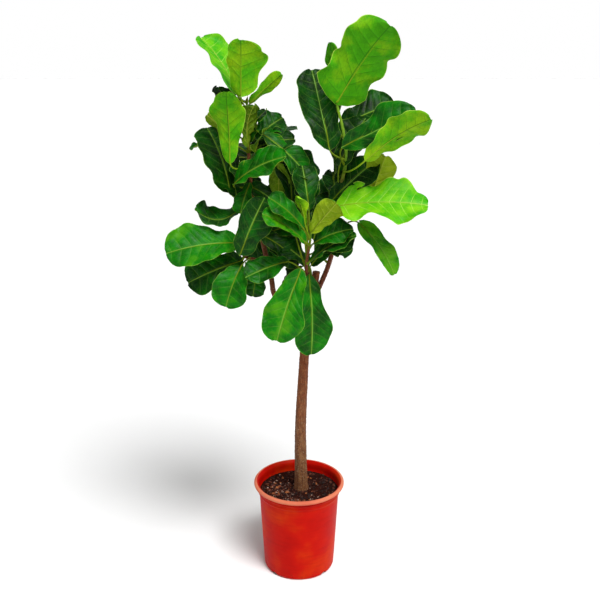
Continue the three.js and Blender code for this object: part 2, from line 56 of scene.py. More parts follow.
# ------------------------------------------------------------------ nursery pot
# A thin-walled polypropylene pot, drawn in over a mould: tapering wall, stepped collar, lip rolled
# outwards. Holes are punched in its floor and four notches in its foot corner, to let water out.
POT_HEIGHT = 280
POT_LIP_RADIUS = 135
POT_TOP_RADIUS = 119
POT_BASE_RADIUS = 106
POT_WALL = 2.2
POT_FLOOR = 3
POT_CORNER = 9
POT_COLLAR = 244
POT_STEP = 2.5
POT_LIP_WIDTH = 8
POT_SIDES = 168
DRAIN_HOLES = 6
DRAIN_HOLE_RADIUS = 7
DRAIN_RING_RADIUS = 0.6 * POT_BASE_RADIUS
DRAIN_NOTCHES = 4
NOTCH_HALF_WIDTH = 10
NOTCH_SHOULDER = 3
NOTCH_ARCH = 7


def swatch(*card):
    """A colour from a 0-255 paint card, as the shaders want it."""
    return tuple(((c / 255 + 0.055) / 1.055) ** 2.4 if c > 10 else c / 255 / 12.92 for c in card)


def new_finish(name):
    """A material with one Principled shader: the material, its node tree and the shader."""
    finish = bpy.data.materials.new(name)
    finish.use_nodes = True
    return finish, finish.node_tree, finish.node_tree.nodes["Principled BSDF"]


def lay_on(tree, shader, colour, roughness, gloss, bumps):
    """Puts a colour, a roughness, a gloss and a relief on the shader."""
    tree.links.new(colour, shader.inputs["Base Color"])
    tree.links.new(bumps, shader.inputs["Normal"])
    shader.inputs["Specular IOR Level"].default_value = gloss
    if isinstance(roughness, bpy.types.NodeSocket):
        tree.links.new(roughness, shader.inputs["Roughness"])
    else:
        shader.inputs["Roughness"].default_value = roughness


def shade(tree, kind, inputs=None, **settings):
    """One shader node. An input given another node's output is linked to it, and any other is set."""
    made = tree.nodes.new("ShaderNode" + kind)
    for key, value in settings.items():
        setattr(made, key, value)
    for key, value in (inputs or {}).items():
        if isinstance(value, bpy.types.NodeSocket):
            tree.links.new(value, made.inputs[key])
        else:
            made.inputs[key].default_value = value
    return made


def colour_band(tree, factor, stops):
    """A colour that runs through these stops, each a place and a swatch."""
    made = shade(tree, "ValToRGB", {"Fac": factor})
    band = made.color_ramp.elements
    for element, (place, *colour) in zip(band, (stops[0], stops[-1])):
        element.position, element.color = place, (*swatch(*colour), 1)
    for place, *colour in stops[1:-1]:
        band.new(place).color = (*swatch(*colour), 1)
    return made.outputs["Color"]


def value_band(tree, value, low, high, to_low=0.0, to_high=1.0):
    """A value stretched smoothly from low..high to to_low..to_high, and held at the ends."""
    made = shade(tree, "MapRange", {"Value": value, "From Min": low, "From Max": high,
                                    "To Min": to_low, "To Max": to_high},
                 interpolation_type="SMOOTHSTEP")
    return made.outputs["Result"]


def reckon(tree, first, second, how="ADD"):
    """Two values added, or put together in another way."""
    made = shade(tree, "Math", {0: first, 1: second}, operation=how)
    return made.outputs[0]


def blend_colours(tree, factor, first, second):
    """The first colour where the factor is 0, and the second where it is 1."""
    made = shade(tree, "Mix", {"Factor": factor}, data_type="RGBA", blend_type="MIX")
    for socket, value in ((made.inputs[6], first), (made.inputs[7], second)):
        if isinstance(value, bpy.types.NodeSocket):
            tree.links.new(value, socket)
        else:
            socket.default_value = (*value, 1)
    return made.outputs[2]


def speckle(tree, where, scale, detail=4.0, roughness=0.55):
    """Cloudy noise, about 0.3 to 0.7, with this many clouds to a metre."""
    inputs = {"Vector": where, "Scale": scale, "Detail": detail, "Roughness": roughness}
    return shade(tree, "TexNoise", inputs).outputs["Fac"]


def place_on_object(tree, stretch=(1, 1, 1)):
    """The piece's own coordinates in metres, squeezed or stretched along its axes."""
    coordinates = shade(tree, "TexCoord").outputs["Object"]
    return shade(tree, "Mapping", {"Vector": coordinates, "Scale": stretch}).outputs["Vector"]


def relief(tree, height, distance, strength=1.0, under=None):
    """Fine relief on the surface, in metres, over the relief under it."""
    inputs = {"Height": height, "Distance": distance, "Strength": strength}
    if under is not None:
        inputs["Normal"] = under
    return shade(tree, "Bump", inputs).outputs["Normal"]


def make_piece(name, points, faces, finish, cad_nodes, marks=None, crease=35):
    """A smooth mesh that rides on the plant and stands for these nodes of the CAD model. Marks are
    values kept at its points for its finish to read."""
    mesh = bpy.data.meshes.new(name)
    mesh.from_pydata([tuple(p) for p in points], [], [tuple(f) for f in faces])
    mesh.validate()
    mesh.shade_smooth()
    mesh.set_sharp_from_angle(angle=math.radians(crease))
    for mark, values in (marks or {}).items():
        values = np.asarray(values, np.float32)
        if values.ndim == 2:
            mesh.attributes.new(mark, "FLOAT_VECTOR", "POINT").data.foreach_set("vector", values.ravel())
        else:
            mesh.attributes.new(mark, "FLOAT", "POINT").data.foreach_set("value", values)
    mesh.materials.append(finish)
    piece = bpy.data.objects.new(name, mesh)
    bpy.context.scene.collection.objects.link(piece)
    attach(piece, "root")
    if cad_nodes:
        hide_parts(*cad_nodes)
    return piece


def turned(profile, sides):
    """Points and faces of a profile of (radius, height) turned about the Z axis. Its two ends lie on it."""
    points, rings = [], []
    for radius, height in profile:
        if radius < 1e-6:
            rings.append([len(points)])
            points.append((0, 0, height))
            continue
        rings.append(list(range(len(points), len(points) + sides)))
        for i in range(sides):
            angle = 2 * math.pi * i / sides
            points.append((radius * math.cos(angle), radius * math.sin(angle), height))
    faces = []
    for low, high in zip(rings, rings[1:]):
        for i in range(sides):
            j = (i + 1) % sides
            if len(low) == 1:
                faces.append((low[0], high[j], high[i]))
            elif len(high) == 1:
                faces.append((low[i], low[j], high[0]))
            else:
                faces.append((low[i], low[j], high[j], high[i]))
    return points, faces


def arc(centre_radius, centre_height, radius, start, end, steps):
    """Points of a round corner in a profile, its angles in degrees from outwards towards up."""
    turns = [math.radians(start + (end - start) * i / steps) for i in range(steps + 1)]
    return [(centre_radius + radius * math.cos(a), centre_height + radius * math.sin(a)) for a in turns]


def pot_profile():
    """The pot's section in metres, from the middle of its underside, up outside, over the lip and down
    inside to the middle of its floor."""
    collar_radius = POT_TOP_RADIUS + POT_STEP
    inner = collar_radius - POT_WALL
    slope = (POT_TOP_RADIUS - POT_BASE_RADIUS) / POT_COLLAR
    outline = [(0, 0.8), (40, 0.8), (52, 0.8), (54, 0), (POT_BASE_RADIUS - POT_CORNER, 0)]
    outline += arc(POT_BASE_RADIUS - POT_CORNER, POT_CORNER, POT_CORNER, -80, 0, 8)
    for height in (30, 60, 90, 120, 150, 180, 205, 228):
        outline.append((POT_BASE_RADIUS + slope * height, height))
    outline += [(POT_TOP_RADIUS - 0.3, POT_COLLAR - 7), (POT_TOP_RADIUS - 0.2, POT_COLLAR - 4)]
    for out, up in ((-2, -1.8), (-0.3, 0), (0.4, 1.6), (0.2, 4), (-0.5, 6.5), (-0.2, 9), (0, 12), (0.9, 13),
                    (1, 14.6), (0.1, 16)):
        outline.append((collar_radius + out, POT_COLLAR + up))
    for out, down in ((0.2, 15.5), (1.2, 12.7), (4, 12.1), (8.4, 12.9)):
        outline.append((collar_radius + out, POT_HEIGHT - down))
    outline += arc(POT_LIP_RADIUS - 5.4, POT_HEIGHT - 6.4, 5.4, -60, 75, 9)
    for back, down in ((5, 0.7), (6.4, 0.3), (POT_LIP_WIDTH, 0.5), (POT_LIP_WIDTH + 1.2, 1.3)):
        outline.append((POT_LIP_RADIUS - back, POT_HEIGHT - down))
    outline += [(inner + 3.6, POT_HEIGHT - 4.2), (inner + 1, POT_HEIGHT - 7.8), (inner, POT_HEIGHT - 11)]
    outline += [(inner, POT_COLLAR + 14), (inner, POT_COLLAR + POT_STEP)]
    outline.append((POT_TOP_RADIUS - POT_WALL, POT_COLLAR - 1))
    for height in (225, 190, 145, 100, 60, 30, 14):
        outline.append((POT_BASE_RADIUS + slope * height - POT_WALL, height))
    outline += [(POT_BASE_RADIUS - 4, 6.5), (POT_BASE_RADIUS - 8, POT_FLOOR + 0.6)]
    outline += [(POT_BASE_RADIUS - 12, POT_FLOOR), (50, POT_FLOOR + 0.6), (0, POT_FLOOR + 0.6)]
    return [(radius * MM, height * MM) for radius, height in outline]


def drill(piece, cutters):
    """Cuts these objects out of the piece and takes them away."""
    for cutter in cutters:
        cut = piece.modifiers.new("cut", "BOOLEAN")
        cut.operation, cut.solver, cut.object = "DIFFERENCE", "EXACT", cutter
    bpy.context.view_layer.update()
    evaluated = piece.evaluated_get(bpy.context.evaluated_depsgraph_get())
    mesh = bpy.data.meshes.new_from_object(evaluated)
    piece.modifiers.clear()
    piece.data = mesh
    for cutter in cutters:
        bpy.data.objects.remove(cutter)


def block(name, points, faces):
    """A bare object for cutting with."""
    mesh = bpy.data.meshes.new(name)
    mesh.from_pydata(points, [], faces)
    made = bpy.data.objects.new(name, mesh)
    bpy.context.scene.collection.objects.link(made)
    return made


def punch(x, y, radius, low, high):
    """A round cutter."""
    points, faces = turned([(0, low), (radius, low), (radius, high), (0, high)], 28)
    return block("punch", [(px + x, py + y, pz) for px, py, pz in points], faces)


def notch_cutter(angle):
    """A round-topped cutter that reaches through the foot corner at this angle."""
    wide = NOTCH_HALF_WIDTH
    outline = [(-wide, -5)]
    for a in np.linspace(0, math.pi, 9):
        outline.append((-wide * math.cos(a), NOTCH_SHOULDER + NOTCH_ARCH * math.sin(a)))
    outline.append((wide, -5))
    points = []
    for reach in (POT_BASE_RADIUS - 14, POT_BASE_RADIUS + 14):
        for across, height in outline:
            x = reach * math.cos(angle) - across * math.sin(angle)
            y = reach * math.sin(angle) + across * math.cos(angle)
            points.append((x * MM, y * MM, height * MM))
    count = len(outline)
    faces = [tuple(range(count)), tuple(reversed(range(count, 2 * count)))]
    faces += [((i + 1) % count, i, count + i, count + (i + 1) % count) for i in range(count)]
    return block("notch", points, faces)


def pot_finish():
    """Red-orange moulded plastic: faint flow streaks round it, soil dust low down and in the corners,
    fine scuffs, and a painted highlight, paler salmon, along the lip's rolled edge."""
    finish, tree, shader = new_finish("pot_plastic")
    flat = place_on_object(tree)
    streaks = speckle(tree, place_on_object(tree, (9, 9, 60)), 2.0, 3)
    cloud = speckle(tree, flat, 9, 3)
    height = shade(tree, "SeparateXYZ", {"Vector": flat}).outputs["Z"]
    body = colour_band(tree, cloud, [(0.3, 168, 4, 0), (0.5, 184, 14, 0),
                                     (0.72, 196, 50, 0)])
    body = blend_colours(tree, value_band(tree, streaks, 0.45, 0.75, 0, 0.25), body, swatch(138, 4, 0))
    # the painted highlight is a paler ring on the lip's rolled edge only: high up, and outside the inner
    # flare
    patchy = value_band(tree, cloud, 0.25, 0.6, 0.6, 1)
    painted_lip_highlight = reckon(tree, value_band(tree, height, 0.2665, 0.2685), patchy, "MULTIPLY")
    radius = shade(tree, "VectorMath", {0: place_on_object(tree, (1, 1, 0))}, operation="LENGTH")
    painted_lip_highlight = reckon(tree, painted_lip_highlight, value_band(tree, radius.outputs["Value"], 0.1262, 0.1276), "MULTIPLY")
    body = blend_colours(tree, painted_lip_highlight, body, swatch(206, 118, 88))
    dust = speckle(tree, flat, 160, 5)
    low = value_band(tree, height, 0.055, 0.0, 0, 0.5)
    dusty = reckon(tree, value_band(tree, dust, 0.5, 0.72), low, "MULTIPLY")
    body = blend_colours(tree, dusty, body, swatch(96, 40, 20))
    scuffs = speckle(tree, place_on_object(tree, (1, 1, 0.3)), 420, 3)
    scuffed = value_band(tree, scuffs, 0.5, 0.8, 0, 0.2)
    rough = reckon(tree, value_band(tree, cloud, 0.3, 0.7, 0.4, 0.52), scuffed)
    ripple = relief(tree, streaks, 0.0008, 0.35)
    lay_on(tree, shader, body, rough, 0.06, relief(tree, scuffs, 0.00015, 0.5, ripple))
    return finish


pot_points, pot_faces = turned(pot_profile(), POT_SIDES)
pot = make_piece("nursery_pot", pot_points, pot_faces, pot_finish(), ["pot"], crease=40)
pot_cutters = []
for i in range(DRAIN_HOLES):
    angle = 2 * math.pi * i / DRAIN_HOLES
    ring = DRAIN_RING_RADIUS * MM
    hole_x, hole_y = ring * math.cos(angle), ring * math.sin(angle)
    pot_cutters.append(punch(hole_x, hole_y, DRAIN_HOLE_RADIUS * MM, -0.01, 0.012))
for i in range(DRAIN_NOTCHES):
    pot_cutters.append(notch_cutter(2 * math.pi * (i + 0.5) / DRAIN_NOTCHES))
drill(pot, pot_cutters)

# ------------------------------------------------------------------ soil
# Dark peat mix, dished a little towards the wall by watering, with crumbs standing out of it. White
# perlite has floated up, and bits of orange bark lie mostly to the left and in front of the trunk. The
# lumps of one kind are one piece, and each kind has its own run of colours.
SOIL_TOP = 252
SOIL_MOUND = 5
SOIL_RADIUS = 118.4
TRUNK_FOOT_X = 7
CLEAR_OF_TRUNK = 23
CRUMB_COUNT = 520
PERLITE_COUNT = 190
BARK_BIT_COUNT = 120
chance = np.random.default_rng(41)


def soil_height(x, y):
    """Height of the soil's surface at a place, all in millimetres."""
    out = math.hypot(x, y) / SOIL_RADIUS
    spot = Vector((x / 26, y / 26, 3.1))
    lumps = 2.2 * noise.noise(spot) + 1.6 * noise.noise(spot * 2.7) + 1.3 * abs(noise.noise(spot * 7.3))
    grit = 0.7 * noise.noise(spot * 17)
    against_trunk = 2.5 * math.exp(-max(0, math.hypot(x - TRUNK_FOOT_X, y) - 20) / 7)
    return SOIL_TOP - 1 - SOIL_MOUND * out * out + (lumps + grit) * min(1, 6 * (1.02 - out)) + against_trunk


def crumbs(count, smallest, largest, flatness, spread):
    """Points and faces of many small broken lumps lying on the soil, and one tone for each lump."""
    gold = (1 + 5 ** 0.5) / 2
    corner = [(-1, gold, 0), (1, gold, 0), (-1, -gold, 0), (1, -gold, 0), (0, -1, gold), (0, 1, gold),
              (0, -1, -gold), (0, 1, -gold), (gold, 0, -1), (gold, 0, 1), (-gold, 0, -1), (-gold, 0, 1)]
    facet = [(0, 11, 5), (0, 5, 1), (0, 1, 7), (0, 7, 10), (0, 10, 11), (1, 5, 9), (5, 11, 4), (11, 10, 2),
             (10, 7, 6), (7, 1, 8), (3, 9, 4), (3, 4, 2), (3, 2, 6), (3, 6, 8), (3, 8, 9), (4, 9, 5),
             (2, 4, 11), (6, 2, 10), (8, 6, 7), (9, 8, 1)]
    split, points = [], [Vector(c).normalized() for c in corner]
    middle = {}

    def halfway(a, b):
        key = (min(a, b), max(a, b))
        if key not in middle:
            middle[key] = len(points)
            points.append(((points[a] + points[b]) / 2).normalized())
        return middle[key]

    for a, b, c in facet:
        ab, bc, ca = halfway(a, b), halfway(b, c), halfway(c, a)
        split += [(a, ab, ca), (b, bc, ab), (c, ca, bc), (ab, bc, ca)]
    ball = np.array(points)
    all_points, all_faces, tones = [], [], []
    while len(tones) < count * len(ball):
        x, y = spread()
        if math.hypot(x, y) > SOIL_RADIUS - 6 or math.hypot(x - TRUNK_FOOT_X, y) < CLEAR_OF_TRUNK:
            continue
        size = smallest + (largest - smallest) * chance.random() ** 2.2
        shape = ball * (1 + 0.28 * chance.standard_normal((len(ball), 1)).clip(-1.5, 1.5))
        shape = shape * (size * np.array([1, 0.55 + 0.45 * chance.random(), flatness]) / 2)
        a, b = chance.random() * 2 * math.pi, 0.5 * chance.standard_normal()
        tilt = np.array([[1, 0, 0], [0, math.cos(b), -math.sin(b)], [0, math.sin(b), math.cos(b)]])
        spin = np.array([[math.cos(a), -math.sin(a), 0], [math.sin(a), math.cos(a), 0], [0, 0, 1]])
        shape = shape @ tilt.T @ spin.T + [x, y, soil_height(x, y) + 0.22 * size * flatness]
        all_faces += [tuple(len(all_points) + i for i in f) for f in split]
        all_points += [tuple(p) for p in shape * MM]
        tones += [chance.random()] * len(ball)
    return all_points, all_faces, tones


def anywhere():
    """A place on the soil, in millimetres, as likely here as there."""
    angle, radius = chance.random() * 2 * math.pi, 112 * math.sqrt(chance.random())
    return radius * math.cos(angle), radius * math.sin(angle)


def left_and_front():
    """Mostly in the left half and in front of the trunk, with a few strays."""
    if chance.random() < 0.2:
        return anywhere()
    if chance.random() < 0.5:
        return chance.normal(-66, 24), chance.normal(-8, 34)
    return chance.normal(-8, 34), chance.normal(-66, 16)


def soil_finish():
    """Damp peat: near black, with redder lumps and paler fibres."""
    finish, tree, shader = new_finish("soil")
    flat = place_on_object(tree)
    peat = speckle(tree, flat, 130, 8, 0.7)
    fibre = speckle(tree, place_on_object(tree, (1, 0.25, 1)), 420, 4)
    dark = colour_band(tree, peat, [(0.3, 16, 3, 1), (0.5, 34, 8, 3), (0.66, 58, 20, 9),
                                    (0.8, 98, 48, 24)])
    dark = blend_colours(tree, value_band(tree, fibre, 0.62, 0.75, 0, 0.7), dark, swatch(108, 56, 28))
    rough = value_band(tree, peat, 0.3, 0.6, 0.75, 0.97)
    coarse = relief(tree, peat, 0.003, 0.9)
    lay_on(tree, shader, dark, rough, 0.1, relief(tree, fibre, 0.0008, 0.8, coarse))
    return finish


def crumb_finish(name, stops, roughness, grain):
    """Small bits in their own run of colours, one tone each, broken up by a fine grain."""
    finish, tree, shader = new_finish(name)
    tone = shade(tree, "Attribute", attribute_name="tone").outputs["Fac"]
    fine = speckle(tree, place_on_object(tree), grain, 4)
    mixed = reckon(tree, tone, value_band(tree, fine, 0.3, 0.7, -0.2, 0.2))
    lay_on(tree, shader, colour_band(tree, mixed, stops), roughness, 0.5, relief(tree, fine, 0.0006, 0.7))
    return finish


soil_outline = [(0, 3.6), (95, 3.6), (103.4, 9), (POT_TOP_RADIUS - POT_WALL - 0.8, POT_COLLAR - 3)]
soil_outline += [(SOIL_RADIUS * k / 95, SOIL_TOP) for k in range(95, -1, -1)]
soil_points, soil_faces = turned([(r * MM, h * MM) for r, h in soil_outline], 210)
soil_points = [(x, y, soil_height(x / MM, y / MM) * MM if z > (SOIL_TOP - 1) * MM else z)
               for x, y, z in soil_points]
make_piece("potting_soil", soil_points, soil_faces, soil_finish(), ["soil"], crease=180)
for name, lumps, finish, crease in (
        ("soil_crumbs", (CRUMB_COUNT, 2.0, 9.0, 0.7, anywhere),
         ("soil_crumb", [(0.0, 20, 5, 2), (0.6, 46, 16, 7), (1.0, 92, 44, 22)], 0.95, 900), 180),
        ("perlite", (PERLITE_COUNT, 1.6, 5.6, 0.85, left_and_front),
         ("perlite", [(0.0, 84, 56, 46), (0.5, 122, 92, 78), (1.0, 178, 152, 138)], 0.8, 1400), 180),
        ("bark_bits", (BARK_BIT_COUNT, 3.0, 12.0, 0.35, left_and_front),
         ("bark_bit", [(0.0, 76, 28, 10), (0.5, 118, 54, 18), (1.0, 150, 84, 34)], 0.85, 700), 50)):
    made, faces, tones = crumbs(*lumps)
    make_piece(name, made, faces, crumb_finish(*finish), [], {"tone": tones}, crease)

# ------------------------------------------------------------------ trunk
# One bare woody stem, staked straight in the nursery and then pruned off, with the crown's shoots
# grown out below the cut. Its corky bark is ringed by old leaf scars, greyer low down, redder above.
TRUNK_DEPTH = 60
TRUNK_HEIGHT = 676
TRUNK_RADII = (20, 10.5)
TRUNK_SWAY = [(-TRUNK_DEPTH / TRUNK_HEIGHT, TRUNK_FOOT_X), (0, TRUNK_FOOT_X), (0.3, 5), (0.52, 11),
              (0.65, 16), (0.83, 30), (0.94, 43), (1, 49)]
TRUNK_SIDES = 72
TRUNK_ROWS = 330
CUT_RINGS = [(0.95, 0.5), (0.86, 0.8), (0.78, 0.35), (0.5, 0.05), (0.2, 0.15)]
FIRST_SCAR = 22.0
SCAR_STEP = 13


def grown_curve(points):
    """The smooth line that a stem grows along, through these points. It gives the place at a share
    of its length from 0 to 1, and its length."""
    points = [np.array(p, float) for p in points]
    ends = [2 * points[0] - points[1]] + points + [2 * points[-1] - points[-2]]

    def place(share):
        run = share * (len(points) - 1)
        k = min(int(run), len(points) - 2)
        w = run - k
        p0, p1, p2, p3 = ends[k:k + 4]
        d0, d1, d2 = (max(math.sqrt(np.linalg.norm(b - a)), 1e-4) for a, b in ((p0, p1), (p1, p2), (p2, p3)))
        t1 = ((p1 - p0) / d0 - (p2 - p0) / (d0 + d1) + (p2 - p1) / d1) * d1
        t2 = ((p2 - p1) / d1 - (p3 - p1) / (d1 + d2) + (p3 - p2) / d2) * d1
        c2, c3 = -3 * p1 + 3 * p2 - 2 * t1 - t2, 2 * p1 - 2 * p2 + t1 + t2
        return p1 + t1 * w + c2 * w * w + c3 * w ** 3

    steps = [place(i / 200) for i in range(201)]
    reached = np.concatenate([[0], np.cumsum([np.linalg.norm(b - a) for a, b in zip(steps, steps[1:])])])

    def at(share):
        return place(float(np.interp(share * reached[-1], reached, np.arange(201) / 200)))

    return at, reached[-1]


def tube(places, radii, sides, swell=None):
    """Points and faces of a closed round tube through these places, with the turn round it and the row
    of each point. Swell gives how far a point stands out, from its place, turn and row."""
    places = np.array(places, float)
    ahead = np.gradient(places, axis=0)
    ahead /= np.linalg.norm(ahead, axis=1)[:, None]
    side = np.cross(ahead[0], [0.0, 1.0, 0.02])
    points = []
    for row, (place, forward, radius) in enumerate(zip(places, ahead, radii)):
        side = side - forward * side.dot(forward)
        side /= np.linalg.norm(side)
        other = np.cross(forward, side)
        for i in range(sides):
            turn = 2 * math.pi * i / sides
            out = side * math.cos(turn) + other * math.sin(turn)
            extra = swell(place + out * radius, turn, row) if swell else 0
            points.append(place + out * (radius + extra))
    faces = []
    for row in range(len(places) - 1):
        for i in range(sides):
            j = (i + 1) % sides
            faces.append((row * sides + i, row * sides + j, (row + 1) * sides + j, (row + 1) * sides + i))
    foot, tip = len(points), len(points) + 1
    points += [places[0], places[-1]]
    last = (len(places) - 1) * sides
    faces += [(foot, (i + 1) % sides, i) for i in range(sides)]
    faces += [(tip, last + i, last + (i + 1) % sides) for i in range(sides)]
    return points, faces


def bark_finish(name, low, high, grain):
    """Corky bark: long fissures, cross scars, pale lichen flecks low down and warmer, smoother bark
    above. The mark called age runs from 0 at the foot to 1 at the top, and cut is 1 on a sawn face."""
    finish, tree, shader = new_finish(name)
    flat = place_on_object(tree)
    long_grain = speckle(tree, place_on_object(tree, (1, 1, 0.22)), grain, 6, 0.62)
    cross = speckle(tree, place_on_object(tree, (0.35, 0.35, 1)), grain * 1.5, 4, 0.6)
    cells = shade(tree, "TexVoronoi", {"Vector": place_on_object(tree, (1, 1, 0.5)), "Scale": grain * 1.1},
                  feature="DISTANCE_TO_EDGE").outputs["Distance"]
    age = shade(tree, "Attribute", attribute_name="age").outputs["Fac"]
    cut = shade(tree, "Attribute", attribute_name="cut").outputs["Fac"]
    low_bark = colour_band(tree, long_grain, low)
    high_bark = colour_band(tree, long_grain, high)
    older = reckon(tree, age, value_band(tree, cross, 0.3, 0.7, -0.15, 0.15))
    bark = blend_colours(tree, value_band(tree, older, 0.2, 0.75), low_bark, high_bark)
    cracks = value_band(tree, cells, 0.0, 0.12, 1, 0)
    bark = blend_colours(tree, reckon(tree, cracks, 0.55, "MULTIPLY"), bark, swatch(58, 32, 20))
    flecks = value_band(tree, speckle(tree, flat, 300, 4), 0.6, 0.68, 0, 0.75)
    flecks = reckon(tree, flecks, value_band(tree, age, 0.05, 0.6, 1, 0.25), "MULTIPLY")
    bark = blend_colours(tree, flecks, bark, swatch(178, 156, 124))
    wood = colour_band(tree, speckle(tree, place_on_object(tree, (3, 3, 1)), 60, 5),
                       [(0.3, 120, 62, 36), (0.6, 176, 112, 70), (0.8, 200, 146, 98)])
    rough = value_band(tree, long_grain, 0.3, 0.7, 0.92, 0.68)
    ridges = relief(tree, cross, 0.0006, 0.6, relief(tree, long_grain, 0.0011, 0.8))
    sawn = blend_colours(tree, cut, bark, wood)
    lay_on(tree, shader, sawn, rough, 0.3, relief(tree, cracks, -0.0006, 0.7, ridges))
    return finish


trunk_at, trunk_length = grown_curve([(x, 0, SOIL_TOP + share * TRUNK_HEIGHT) for share, x in TRUNK_SWAY])
old_scars = []
scar_height = FIRST_SCAR
while scar_height < trunk_length - 20:
    old_scars.append((scar_height, 2 * math.pi * (0.382 * len(old_scars) % 1)))
    scar_height += SCAR_STEP + 9 * chance.random()


def trunk_swell(place, turn, row):
    """How far the bark stands out: root flare, long ribs, old leaf scars and corky grain."""
    height = trunk_length * min(row, TRUNK_ROWS) / TRUNK_ROWS
    flare = 4.2 * math.exp(-max(0, height - TRUNK_DEPTH) / 16) * (0.7 + 0.5 * math.sin(3 * turn + 1) ** 2)
    ribs = 0.5 * math.sin(5 * turn + 0.011 * height) + 0.4 * noise.noise(Vector(place) / 30)
    grain = 0.55 * noise.noise(Vector((place[0] / 3.2, place[1] / 3.2, place[2] / 11)))
    grain += 0.35 * noise.noise(Vector((place[0] / 1.6, place[1] / 1.6, place[2] / 4)))
    scar = 0
    for at_height, facing in old_scars:
        if abs(height - at_height) < 5:
            round_it = 0.35 + 0.65 * max(0, math.cos(turn - facing)) ** 2
            scar += 0.9 * round_it * math.exp(-((height - at_height) / 1.5) ** 2)
            scar -= 0.5 * round_it * math.exp(-((height - at_height - 3) / 1.3) ** 2)
    return flare + ribs + grain + scar - 0.3


trunk_rows = [trunk_at(row / TRUNK_ROWS) for row in range(TRUNK_ROWS + 1)]
foot_radius, top_radius = TRUNK_RADII
trunk_radii = [foot_radius + (top_radius - foot_radius) * row / TRUNK_ROWS for row in range(TRUNK_ROWS + 1)]
cut_way = trunk_rows[-1] - trunk_rows[-2]
cut_way /= np.linalg.norm(cut_way)
trunk_points, trunk_faces = tube(trunk_rows, trunk_radii, TRUNK_SIDES, trunk_swell)
# the tube's own ends come off, and rings that shrink towards the middle close its sawn top
rim = np.array(trunk_points[TRUNK_ROWS * TRUNK_SIDES:(TRUNK_ROWS + 1) * TRUNK_SIDES])
trunk_points = trunk_points[:(TRUNK_ROWS + 1) * TRUNK_SIDES]
trunk_faces = trunk_faces[:TRUNK_ROWS * TRUNK_SIDES]
middle_of_cut = trunk_at(1)
for out, up in CUT_RINGS:
    trunk_points += list(middle_of_cut + (rim - middle_of_cut) * out + cut_way * up)
for row in range(TRUNK_ROWS, TRUNK_ROWS + len(CUT_RINGS)):
    for i in range(TRUNK_SIDES):
        j = (i + 1) % TRUNK_SIDES
        a, b = row * TRUNK_SIDES, (row + 1) * TRUNK_SIDES
        trunk_faces.append((a + i, a + j, b + j, b + i))
trunk_points += [trunk_at(0), middle_of_cut + cut_way * 0.2]
last = (TRUNK_ROWS + len(CUT_RINGS)) * TRUNK_SIDES
foot, tip = len(trunk_points) - 2, len(trunk_points) - 1
trunk_faces += [(foot, (i + 1) % TRUNK_SIDES, i) for i in range(TRUNK_SIDES)]
trunk_faces += [(tip, last + i, last + (i + 1) % TRUNK_SIDES) for i in range(TRUNK_SIDES)]
trunk_age = [min(1, (i // TRUNK_SIDES) / TRUNK_ROWS) for i in range(len(trunk_points) - 2)] + [0, 1]
trunk_cut = [float(i // TRUNK_SIDES > TRUNK_ROWS + 1) for i in range(len(trunk_points) - 2)] + [0, 1]
trunk_bark = bark_finish("trunk_bark",
                         [(0.25, 66, 38, 22), (0.5, 112, 70, 38), (0.75, 148, 108, 66)],
                         [(0.25, 82, 34, 14), (0.5, 126, 62, 26), (0.75, 156, 90, 44)], 210)
make_piece("trunk_stem", np.array(trunk_points) * MM, trunk_faces, trunk_bark, ["trunk"],
           {"age": trunk_age, "cut": trunk_cut}, 60)

# ------------------------------------------------------------------ shoots
# Two leaders and three side shoots that broke from the trunk after it was pruned, each joined to its
# parent by a swollen collar. Bark is red-brown, turning green near a young tip, which ends in a bud.
# Root: millimetres below the trunk's cut, or the share of its parent's length where it leaves it.
SHOOTS = {
    "left_leader": dict(parent="trunk", below=158, radii=(8.5, 3.2), green=0.9, path=[
        (-4, 0, 0), (-54, 0, 46), (-93, -2, 91), (-101, 0, 134), (-125, 12, 240), (-148, 15, 350),
        (-160, 12, 490), (-161, 0, 617)]),
    "right_leader": dict(parent="trunk", below=82, radii=(7.5, 3.2), green=0.62, path=[
        (2, 0, 0), (18, 0, 30), (53, 5, 121), (66, 12, 226), (76, 8, 310), (90, -12, 395), (83, -18, 461),
        (61, -10, 548)]),
    "centre_shoot": dict(parent="trunk", below=134, radii=(6, 3), green=0.85, path=[
        (0, -4, 0), (-5, -30, 104), (-7, -50, 167), (1, -75, 228), (5, -90, 268)]),
    "rear_shoot": dict(parent="trunk", below=110, radii=(6.5, 3), green=0.9, path=[
        (0, 5, 0), (-2, 60, 70), (-10, 105, 150), (-18, 130, 230)]),
    "lower_left_shoot": dict(parent="left_leader", along=0.315, radii=(4.5, 3), green=0.85, path=[
        (0, 0, 0), (-33, -20, 26), (-62, -38, 38), (-74, -50, 60)]),
}
SHOOT_SIDES = 28


def shoot_finish():
    """Bark that the mark called green turns to fresh green stem."""
    finish = bark_finish("shoot_bark",
                         [(0.25, 70, 30, 18), (0.5, 112, 52, 30), (0.75, 146, 84, 52)],
                         [(0.25, 84, 40, 20), (0.5, 124, 66, 32), (0.75, 150, 96, 50)],
                         330)
    tree = finish.node_tree
    shader = tree.nodes["Principled BSDF"]
    bark = shader.inputs["Base Color"].links[0].from_socket
    green = shade(tree, "Attribute", attribute_name="green").outputs["Fac"]
    young = colour_band(tree, speckle(tree, place_on_object(tree, (1, 1, 0.3)), 160, 4),
                        [(0.3, 70, 112, 18), (0.55, 116, 158, 26), (0.8, 150, 150, 60)])
    tree.links.new(blend_colours(tree, green, bark, young), shader.inputs["Base Color"])
    return finish


